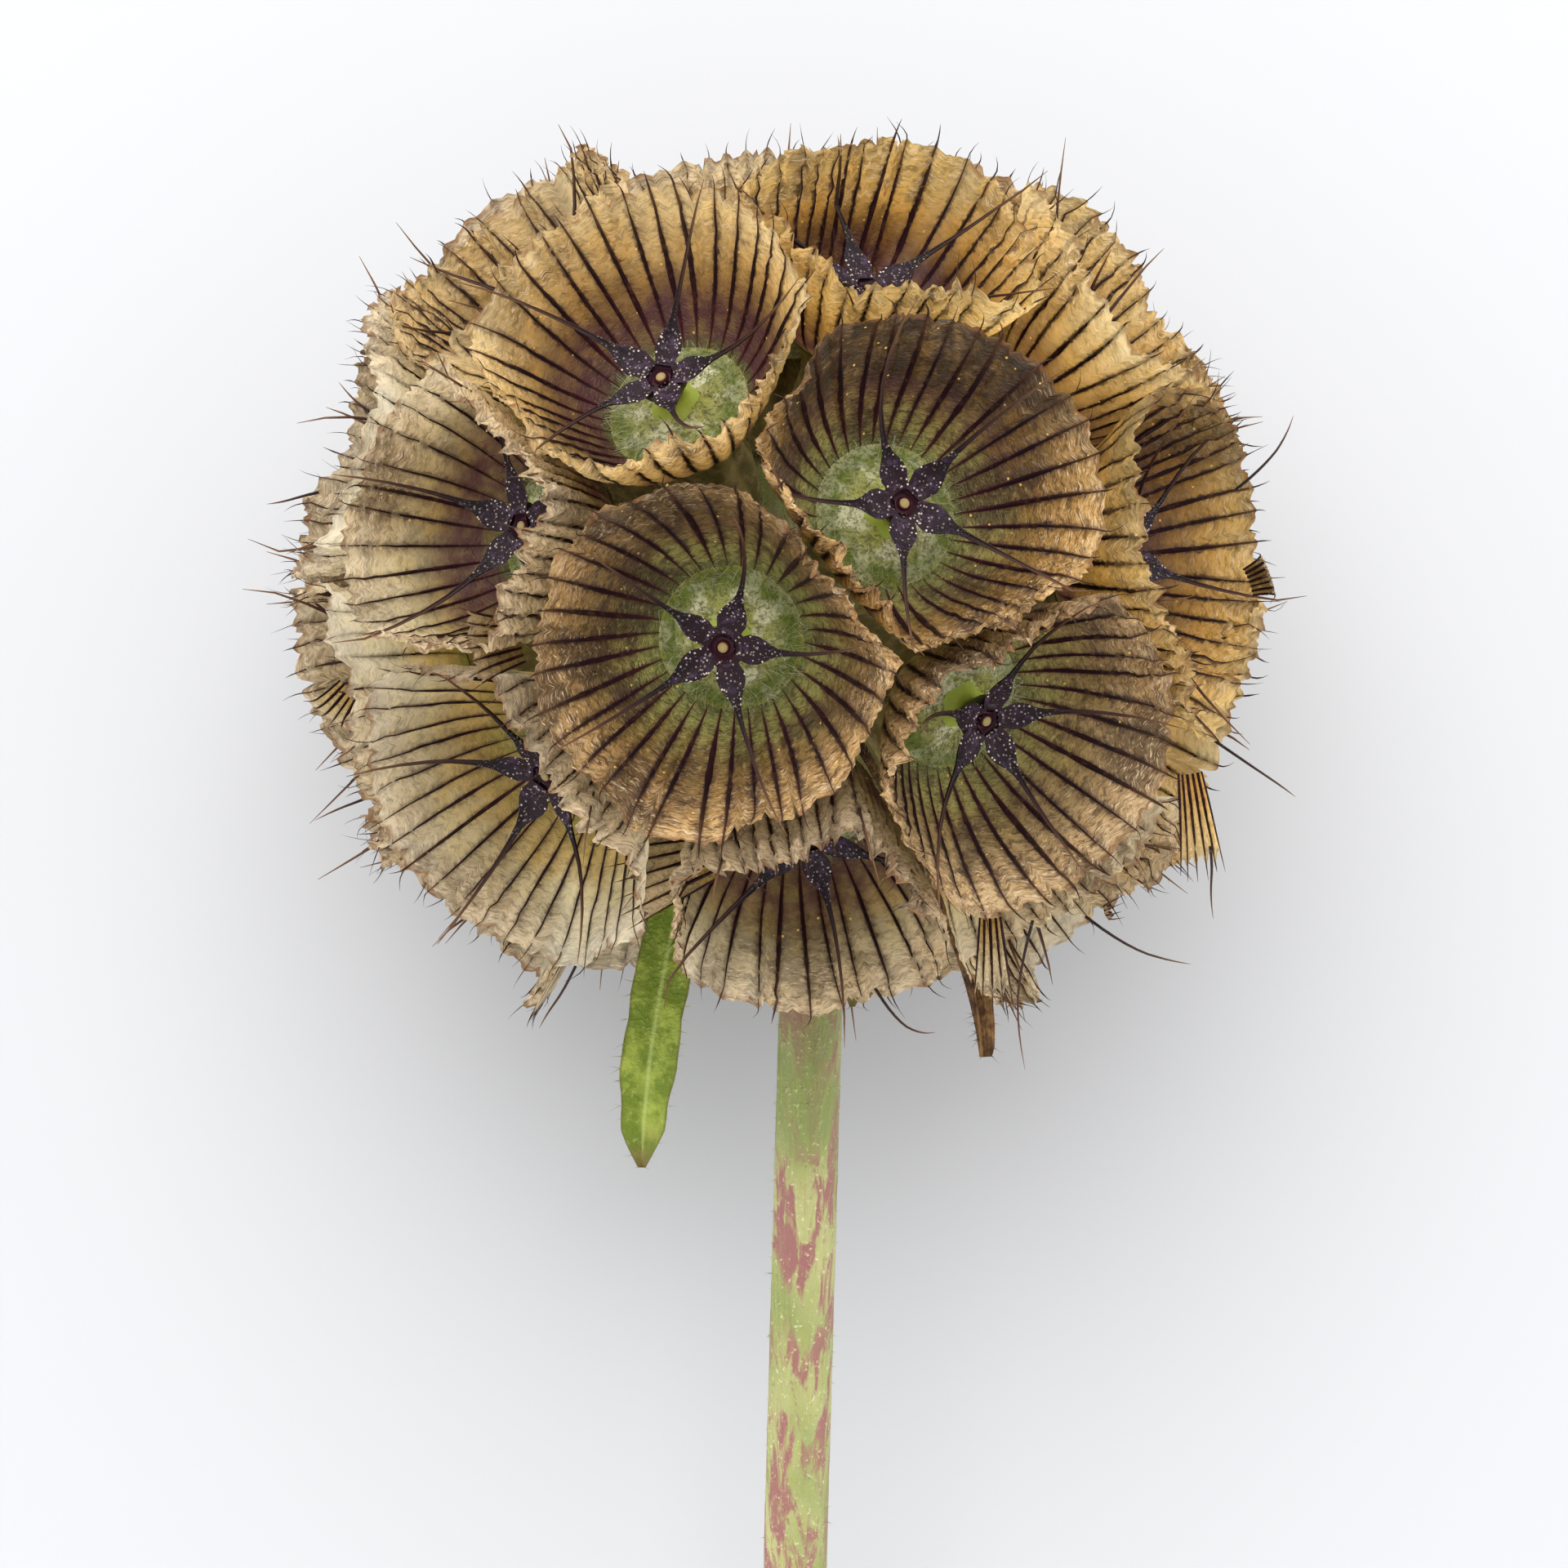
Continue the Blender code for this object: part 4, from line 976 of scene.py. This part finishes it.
class Paint:
    """Builds one material out of nodes. Its colour is laid on coat by coat."""

    def __init__(self, name):
        self.material = bpy.data.materials.new(name)
        self.material.use_nodes = True
        self.tree = self.material.node_tree
        self.tree.nodes.clear()
        self.place = self.node("TexCoord").outputs["Object"]
        self.pair = self.node("UVMap", uv_map="UVMap").outputs[0]
        self.u, self.v = self.node("SeparateXYZ", {0: self.pair}).outputs[:2]
        self.colour = None

    def node(self, kind, inputs=None, **settings):
        """Adds a node. An input's value is a socket to link or a constant to set."""
        made = self.tree.nodes.new("ShaderNode" + kind)
        for key, value in settings.items():
            setattr(made, key, value)
        for key, value in (inputs or {}).items():
            if isinstance(value, bpy.types.NodeSocket):
                self.tree.links.new(value, made.inputs[key])
            else:
                made.inputs[key].default_value = value
        return made

    def calc(self, operation, first, second=0.0):
        """One sum on two values."""
        return self.node("Math", {0: first, 1: second}, operation=operation).outputs[0]

    def times(self, first, *others):
        """The product of its values."""
        for other in others:
            first = self.calc("MULTIPLY", first, other)
        return first

    def away(self, value, middle):
        """How far a value is from the middle given."""
        return self.calc("ABSOLUTE", self.calc("SUBTRACT", value, middle))

    def stirred(self, value, noise, amount):
        """A value with a share of noise added, half of it up and half down."""
        return self.calc("ADD", value, self.times(self.calc("SUBTRACT", noise, 0.5), amount))

    def clamped(self, value, low, high, to_low=0.0, to_high=1.0):
        """Value mapped from one range to another, smooth at both ends."""
        numbers = {"From Min": low, "From Max": high, "To Min": to_low, "To Max": to_high}
        made = self.node("MapRange", {"Value": value, **numbers}, interpolation_type="SMOOTHSTEP")
        return made.outputs["Result"]

    def blend(self, share, *colours):
        """Two colours mixed by a share, each a socket, or screen values with or without a gain."""
        first, second = (colour if isinstance(colour, bpy.types.NodeSocket) else shade(*colour)
                         for colour in colours)
        return self.node("Mix", {0: share, 6: first, 7: second}, data_type="RGBA").outputs[2]

    def coat(self, colour, *shares):
        """Lays a colour in screen values over what is there, by the product of the shares."""
        self.colour = self.blend(self.times(*shares), self.colour, colour)

    def ramp(self, value, gain, *rows):
        """A ramp from rows of a place and a colour in screen values, made lighter by the gain."""
        made = self.node("ValToRGB", {0: value})
        elements = made.color_ramp.elements
        while len(elements) < len(rows):
            elements.new(0.5)
        for element, (place, *screen) in zip(elements, rows):
            element.position = place
            element.color = shade(*screen, gain)
        return made.outputs[0]

    def stretched(self, vector, *scale):
        """A vector with each of its parts scaled."""
        return self.node("Mapping", {"Vector": vector, "Scale": scale}).outputs[0]

    def noise(self, scale, detail=3.0, roughness=0.6, distortion=0.0, vector=None):
        """Noise over the place on the object, in metres, or over the vector given."""
        numbers = {"Scale": scale, "Detail": detail, "Roughness": roughness, "Distortion": distortion}
        vector = self.place if vector is None else vector
        return self.node("TexNoise", {"Vector": vector, **numbers}).outputs["Fac"]

    def spots(self, scale):
        """How far a place is from the middle of the nearest of many scattered dots."""
        return self.node("TexVoronoi", {"Vector": self.place, "Scale": scale}).outputs["Distance"]

    def finish(self, roughness, height=None, depth=0.0, through=None, specular=0.3, sheen=0.0):
        """The surface, bumpy by the height, with a share of the light let through."""
        inputs = {"Base Color": self.colour, "Roughness": roughness}
        inputs.update({"Specular IOR Level": specular, "Sheen Weight": sheen})
        normal = {}
        if height is not None:
            bump = self.node("Bump", {"Height": height, "Distance": depth, "Strength": 1.0})
            normal = {"Normal": bump.outputs[0]}
        shader = self.node("BsdfPrincipled", {**inputs, **normal}).outputs[0]
        if through is not None:
            back = self.node("BsdfTranslucent", {"Color": self.colour, **normal}).outputs[0]
            shader = self.node("MixShader", {0: through, 1: shader, 2: back}).outputs[0]
        self.node("OutputMaterial", {0: shader})
        return self.material


def membrane_material():
    """Dry paper between dark ribs: olive by the disc, tan to cream beyond, streaked and crinkled."""
    p = Paint("dry_membrane")
    v = p.v
    tint = p.node("Attribute", attribute_name="tint").outputs["Color"]
    # The tint holds paleness and gold, each partly own tone and partly painted glow from behind, then the
    # purple blush together with the painted shade of the upper wall.
    pale, golden, blush_and_shade = p.node("SeparateColor", {0: tint}).outputs[:3]
    wrinkles = p.noise(1.0, 2.0, 0.6, 0.9, p.stretched(p.pair, 1.5, 22.0, 1.0))
    creases = p.noise(1.0, 2.0, 0.6, 1.3, p.stretched(p.pair, 2.2, 64.0, 1.0))
    cloud = p.noise(900.0, 2.0, 0.65)
    grain = p.noise(4400.0, 2.0)
    patches = p.noise(340.0, 2.0)
    far = p.stirred(v, cloud, 0.5)
    brown = p.ramp(far, 1.3, (0.0, 138, 140, 74), (0.22, 142, 136, 70), (0.42, 118, 94, 40),
                   (0.6, 132, 96, 40), (0.85, 180, 138, 78), (1.0, 198, 162, 108))
    cream = p.ramp(far, 1.8, (0.0, 140, 130, 60), (0.18, 152, 130, 66), (0.38, 194, 166, 104),
                   (0.6, 236, 220, 172), (1.0, 244, 236, 212))
    gold = p.ramp(far, 1.75, (0.0, 118, 88, 40), (0.3, 160, 112, 40), (0.6, 212, 158, 60),
                  (0.85, 236, 194, 98), (1.0, 238, 206, 128))
    # Cream and gold laid over the brown by paleness and gold: partly the cup's own tone, partly painted
    # glow of light from behind.
    p.colour = p.blend(pale, p.blend(golden, brown, gold), cream)
    # The larger of paleness and gold, partly painted glow: such cups take fewer dark marks and let more
    # light through.
    light_tone = p.calc("MAXIMUM", pale, golden)
    # Weight of the darker marks, real dirt and stains together with painted shade in the creases, and of
    # the bumps; less on pale and golden cups.
    dirt_and_crease_shade = p.calc("SUBTRACT", 1.0, p.times(light_tone, 0.7))
    dark = (56, 34, 14)
    p.coat(dark, dirt_and_crease_shade, p.clamped(wrinkles, 0.46, 0.68, 0.0, 0.7))
    p.coat(dark, dirt_and_crease_shade, p.clamped(patches, 0.46, 0.64, 0.0, 0.8))
    p.coat(dark, dirt_and_crease_shade, p.clamped(grain, 0.3, 0.46, 0.4, 0.0))
    outer = p.clamped(far, 0.42, 0.85)
    # Painted shade in the low creases towards the rim.
    p.coat((84, 52, 18, 1.2), dirt_and_crease_shade, outer, p.clamped(creases, 0.32, 0.47, 0.8, 0.0))
    # Painted highlights, pinkish cream, along the high creases towards the rim.
    p.coat((240, 214, 180, 2.0), outer, p.clamped(creases, 0.56, 0.66, 0.0, 0.8))
    p.coat((222, 194, 134, 1.4), p.clamped(grain, 0.56, 0.76, 0.0, 0.3))
    # Purple blush by the disc, and further out painted shade in dark brown on the upper wall.
    blush_and_shade_colour = p.blend(p.clamped(v, 0.3, 0.6), (88, 48, 54, 1.1), (44, 28, 10))
    p.coat(blush_and_shade_colour, blush_and_shade, p.clamped(cloud, 0.3, 0.6, 0.55, 0.95))
    off_rib = p.stirred(p.away(p.calc("FRACT", p.calc("ADD", p.u, 0.5)), 0.5), grain, 0.35)
    stain = p.times(p.clamped(off_rib, 0.04, 0.4, 0.9, 0.0), p.clamped(cloud, 0.34, 0.6, 0.35, 1.0))
    along = p.times(p.clamped(v, 0.1, 0.3, 0.3, 1.0), p.clamped(v, 0.5, 0.95, 1.0, 0.25))
    p.coat((74, 42, 20, 1.1), dirt_and_crease_shade, stain, along)
    along = p.times(p.clamped(v, 0.06, 0.22, 0.2, 1.0), p.clamped(v, 0.6, 0.95, 1.0, 0.4))
    p.coat((34, 14, 16), p.clamped(off_rib, 0.05, 0.17, 0.85, 0.0), along,
           p.clamped(pale, 0.0, 1.0, 1.0, 0.45))
    p.coat((92, 100, 46, 1.3), p.clamped(p.stirred(v, grain, 0.2), 0.0, 0.09, 0.7, 0.0))
    p.coat((240, 196, 104, 1.5), p.clamped(p.spots(1500.0), 0.05, 0.09, 1.0, 0.0))
    p.coat((124, 82, 42, 1.3), p.clamped(v, 0.95, 1.0), p.clamped(cloud, 0.42, 0.6, 0.0, 0.8))
    height = p.calc("ADD", wrinkles, p.calc("ADD", p.times(grain, 0.15), p.times(creases, 0.6)))
    thin = p.times(light_tone, 0.38)
    through = p.calc("ADD", p.clamped(v, 0.0, 0.4, 0.14, 0.27), thin)
    return p.finish(0.42, p.times(dirt_and_crease_shade, height), 0.17 * MM, through, specular=0.5)


def rib_material():
    """The ribs: wine red by the disc, near black in the middle, brown at the spines."""
    p = Paint("rib")
    p.colour = p.ramp(p.v, 1.0, (0.0, 88, 58, 40), (0.1, 70, 28, 36), (0.3, 42, 15, 24), (0.6, 28, 12, 15),
                      (0.82, 48, 28, 20), (0.95, 78, 50, 32), (1.0, 48, 32, 26))
    p.coat((98, 66, 42), p.clamped(p.noise(3000.0, 2.0), 0.5, 0.74, 0.0, 0.35))
    return p.finish(0.55, specular=0.12)


def felt_material():
    """The disc: green felt, greyed by its down, darker round the edge."""
    p = Paint("green_felt")
    cloud = p.noise(1000.0)
    fine = p.noise(6000.0, 2.0, 0.7)
    p.colour = p.ramp(p.v, 1.7, (0.0, 148, 150, 44), (0.3, 124, 124, 58), (0.6, 122, 122, 70),
                      (0.8, 76, 86, 32), (0.92, 82, 88, 34), (1.0, 110, 106, 46))
    p.coat((182, 180, 148, 1.5), p.clamped(cloud, 0.44, 0.6, 0.0, 0.8),
           p.clamped(p.v, 0.6, 0.85, 1.0, 0.35))
    p.coat((60, 70, 26), p.clamped(fine, 0.46, 0.64, 0.0, 0.6))
    return p.finish(0.85, fine, 0.1 * MM, sheen=0.25, specular=0.1)


def hair_material(name, root, tip):
    """Fine pale hairs, which let light through."""
    p = Paint(name)
    p.colour = p.blend(p.v, root, tip)
    return p.finish(0.45, through=0.35, specular=0.3)


def tube_material():
    """The fruit's ridged tube: straw brown, green in its furrows."""
    p = Paint("fruit_tube")
    cloud = p.noise(1500.0)
    p.colour = p.ramp(p.v, 1.3, (0.0, 140, 122, 76), (0.6, 122, 112, 62), (1.0, 140, 122, 66))
    p.coat((84, 80, 42), p.clamped(p.away(p.calc("FRACT", p.u), 0.5), 0.1, 0.45, 0.6, 0.0))
    p.coat((178, 158, 112, 1.2), p.clamped(cloud, 0.45, 0.7, 0.0, 0.5))
    return p.finish(0.7, cloud, 0.1 * MM, specular=0.25)


def lobe_material():
    """The star's lobes: near-black purple, dusted with pale hairs, browner along the awns."""
    p = Paint("calyx_lobe")
    grain = p.noise(2600.0, 3.0, 0.65)
    p.colour = p.ramp(p.v, 1.0, (0.0, 30, 8, 16), (0.2, 26, 10, 20), (0.42, 20, 8, 14), (0.55, 28, 16, 18),
                      (0.8, 64, 42, 34), (1.0, 116, 84, 58))
    # Lilac grey in patches over the leafy part: painted sheen.
    p.coat((84, 62, 92), p.clamped(grain, 0.5, 0.72, 0.0, 0.4), p.clamped(p.v, 0.4, 0.6, 1.0, 0.0))
    p.coat((186, 172, 158, 1.2), p.clamped(p.spots(6200.0), 0.16, 0.3, 1.0, 0.0),
           p.clamped(p.away(p.u, 0.25), 0.08, 0.2, 0.35, 1.0), p.clamped(p.v, 0.45, 0.62, 0.9, 0.0))
    return p.finish(0.5, grain, 0.08 * MM, specular=0.14)


def hub_material():
    """The star's middle: a dull dot in a wine-red dish, and below the rim a yellow-green stipe."""
    p = Paint("calyx_hub")
    p.colour = p.ramp(p.v, 1.0, (0.0, 138, 122, 78), (0.07, 120, 100, 62), (0.11, 58, 20, 26),
                      (0.26, 50, 18, 30), (0.36, 42, 26, 40), (0.52, 44, 32, 40), (0.6, 74, 78, 38),
                      (0.72, 122, 138, 50), (0.85, 176, 192, 78), (1.0, 150, 166, 84))
    p.coat((176, 164, 152), p.clamped(p.spots(6200.0), 0.18, 0.32, 1.0, 0.0),
           p.clamped(p.v, 0.3, 0.38), p.clamped(p.v, 0.5, 0.6, 0.9, 0.0))
    return p.finish(0.45, p.noise(3200.0, 2.0), 0.05 * MM, specular=0.2)


def stem_material():
    """The stem: green, paler along its ridges, with wine-red streaks in patches."""
    p = Paint("stem_skin")
    streaks = p.noise(1.0, 4.0, 0.65, 0.5, p.stretched(p.place, 1500.0, 330.0, 1500.0))
    fibres = p.noise(1.0, 2.0, vector=p.stretched(p.place, 7000.0, 500.0, 7000.0))
    patches = p.noise(1.0, 2.0, 0.5, vector=p.stretched(p.place, 330.0, 150.0, 330.0))
    fine = p.noise(5200.0, 2.0, 0.7)
    p.colour = p.blend(p.clamped(patches, 0.35, 0.65), (114, 124, 68, 1.05), (152, 151, 102, 1.1))
    p.coat((124, 128, 60, 1.3), p.clamped(fibres, 0.4, 0.7, 0.0, 0.5))
    p.coat((122, 76, 74, 1.2), p.clamped(streaks, 0.47, 0.58), p.clamped(patches, 0.38, 0.54, 0.2, 0.95))
    p.coat((206, 204, 164, 1.5), p.clamped(fine, 0.58, 0.8, 0.0, 0.45))
    height = p.calc("ADD", p.times(fibres, 0.7), p.times(fine, 0.5))
    return p.finish(0.5, height, 0.1 * MM, specular=0.35)


def cut_material():
    """The cut end: a pale pith in a green ring."""
    p = Paint("cut_end")
    grain = p.noise(4000.0)
    p.colour = p.ramp(p.v, 1.1, (0.0, 212, 208, 178), (0.4, 206, 202, 166), (0.6, 170, 178, 120),
                      (1.0, 142, 152, 92))
    p.coat((168, 158, 112), p.clamped(grain, 0.45, 0.75, 0.0, 0.4))
    return p.finish(0.75, grain, 0.1 * MM, specular=0.2)


def bract_material():
    """The green bracts: bright green with a paler midrib, wine brown at the tip and edges."""
    p = Paint("green_bract")
    cloud = p.noise(900.0)
    fine = p.noise(5000.0, 2.0)
    middle = p.away(p.u, BRACT_MIDDLE)
    p.colour = p.blend(p.clamped(cloud, 0.38, 0.66), (100, 118, 28, 1.35), (150, 162, 66, 1.35))
    p.coat((182, 198, 116, 1.2), p.clamped(middle, 0.0, 0.03, 0.6, 0.0))
    p.coat((190, 204, 120, 1.2), p.clamped(fine, 0.56, 0.78, 0.0, 0.4))
    p.coat((112, 72, 52), p.clamped(p.calc("ADD", p.v, p.times(cloud, 0.16)), 0.98, 1.12))
    p.coat((104, 84, 44), p.clamped(p.away(middle, BRACT_MIDDLE), 0.0, 0.03, 0.6, 0.0))
    return p.finish(0.45, p.calc("ADD", cloud, fine), 0.08 * MM, 0.3, specular=0.35)


def dry_material():
    """The dried bract: brown, with darker lines along it."""
    p = Paint("dry_bract_skin")
    cloud = p.noise(1400.0, 3.0, 0.65)
    lines = p.noise(1.0, 2.0, vector=p.stretched(p.pair, 60.0, 4.0, 1.0))
    p.colour = p.blend(p.clamped(cloud, 0.35, 0.7), (78, 50, 30), (150, 112, 66, 1.2))
    p.coat((54, 36, 26), p.clamped(lines, 0.5, 0.7, 0.0, 0.6))
    return p.finish(0.7, p.calc("ADD", cloud, lines), 0.15 * MM, 0.15, specular=0.2)


def floor_material():
    """The floor: a pale, faintly clouded grey."""
    p = Paint("pale_floor")
    inputs = {0: p.times(p.noise(300.0), 0.15), 6: (0.49, 0.496, 0.512, 1.0), 7: (0.478, 0.484, 0.5, 1.0)}
    p.colour = p.node("Mix", inputs, data_type="RGBA").outputs[2]
    return p.finish(0.8, specular=0.1)


def make_camera():
    """The camera, square to the head's front, which shows the head where the photo has it."""
    middle = PHOTO_WIDTH / 2
    right, down = ((middle - place) * PIXEL_SIZE for place in HEAD_IN_PHOTO)
    data = bpy.data.cameras.new("camera")
    data.sensor_width = SENSOR
    data.lens = SENSOR * CAMERA_DISTANCE / (PHOTO_WIDTH * PIXEL_SIZE)
    data.clip_start, data.clip_end = CLIP
    camera = linked("camera", data)
    camera.location = head_place(right, -down, CAMERA_DISTANCE)
    camera.rotation_euler = (LEAN, 0.0, 0.0)
    bpy.context.scene.camera = camera


# The light from all round: heights on the sky's unit sphere from and to, and the strengths there
WORLD_LIGHT = (0.0, 1.0, 3.7, 0.6)
# The same from the head's foot to its crown, which multiplies the first
WORLD_SIDE = (-1.0, 1.0, 0.65, 1.3)
WORLD_COLOUR = (0.99, 0.995, 1.0, 1.0)
KEY_PLACE = (-0.04, 0.22, 0.5)
KEY_SIZE = 0.5
KEY_POWER = 1.9
KEY_COLOUR = (1.0, 0.98, 0.95)
FLOOR_SIZE = 6.0


def make_key_light():
    """One large soft lamp, up and in front."""
    data = bpy.data.lights.new("key", "AREA")
    data.shape = "DISK"
    data.size = KEY_SIZE
    data.energy = KEY_POWER
    data.color = KEY_COLOUR
    lamp = linked("key", data)
    lamp.location = KEY_PLACE
    lamp.rotation_euler = Vector(KEY_PLACE - HEAD_CENTRE).to_track_quat("Z", "Y").to_euler()


def make_surroundings():
    """A pale floor, and light from all round that is strongest low down."""
    bpy.ops.mesh.primitive_plane_add(size=FLOOR_SIZE, location=(0, 0, 0))
    floor = bpy.context.object
    floor.name = "floor"
    floor.data.materials.append(floor_material())
    world = bpy.data.worlds.new("soft_world")
    world.use_nodes = True
    nodes, links = world.node_tree.nodes, world.node_tree.links
    split = nodes.new("ShaderNodeSeparateXYZ")
    links.new(nodes.new("ShaderNodeTexCoord").outputs["Generated"], split.inputs[0])
    strength = nodes.new("ShaderNodeMath")
    strength.operation = "MULTIPLY"
    for number, (axis, values) in enumerate((("Z", WORLD_LIGHT), ("Y", WORLD_SIDE))):
        ramp = nodes.new("ShaderNodeMapRange")
        for socket, value in zip(("From Min", "From Max", "To Min", "To Max"), values):
            ramp.inputs[socket].default_value = value
        links.new(split.outputs[axis], ramp.inputs["Value"])
        links.new(ramp.outputs["Result"], strength.inputs[number])
    links.new(strength.outputs[0], nodes["Background"].inputs["Strength"])
    nodes["Background"].inputs["Color"].default_value = WORLD_COLOUR
    bpy.context.scene.world = world
    bpy.context.scene.view_settings.view_transform = "Standard"


def main():
    """Makes the camera, the light, the materials and every piece."""
    make_camera()
    make_surroundings()
    make_key_light()
    down = hair_material("down", (122, 122, 76, 1.3), (214, 210, 184, 1.3))
    bristle = hair_material("pale_bristle", (80, 64, 66), (196, 184, 164))
    stem_hair = hair_material("stem_hair", (150, 158, 110), (214, 216, 190))
    cup = [membrane_material(), rib_material(), felt_material(), down, tube_material()]
    star = [lobe_material(), hub_material(), bristle]
    stem_skin, cut, leaf = stem_material(), cut_material(), bract_material()
    fruits = all_fruits()
    for fruit in fruits:
        planes = cell_planes(fruit, fruits)
        make_cup(fruit, planes, cup)
        make_star(fruit, planes, star)
    make_stem([stem_skin, cut, stem_hair])
    make_receptacle([stem_skin, stem_hair])
    draw = np.random.default_rng(FLAP_SEED)
    for number, row in enumerate(FLAPS):
        make_flap(number + 1, row, draw, cup[:2])
    make_stray_awns(star[:1])
    draw = np.random.default_rng(BRACT_SEED)
    for number, row in enumerate(GREEN_BRACTS):
        name = f"green_bract_{number + 1}"
        make_bract(name, GREEN_BRACT_ROOT, row, draw, [leaf, stem_hair], ())
    make_bract("dried_bract", DRY_BRACT_ROOT, DRY_BRACT, draw, [dry_material(), bristle],
               ("dry_bract",), BLUNT_WIDTHS, 1.2)


main()
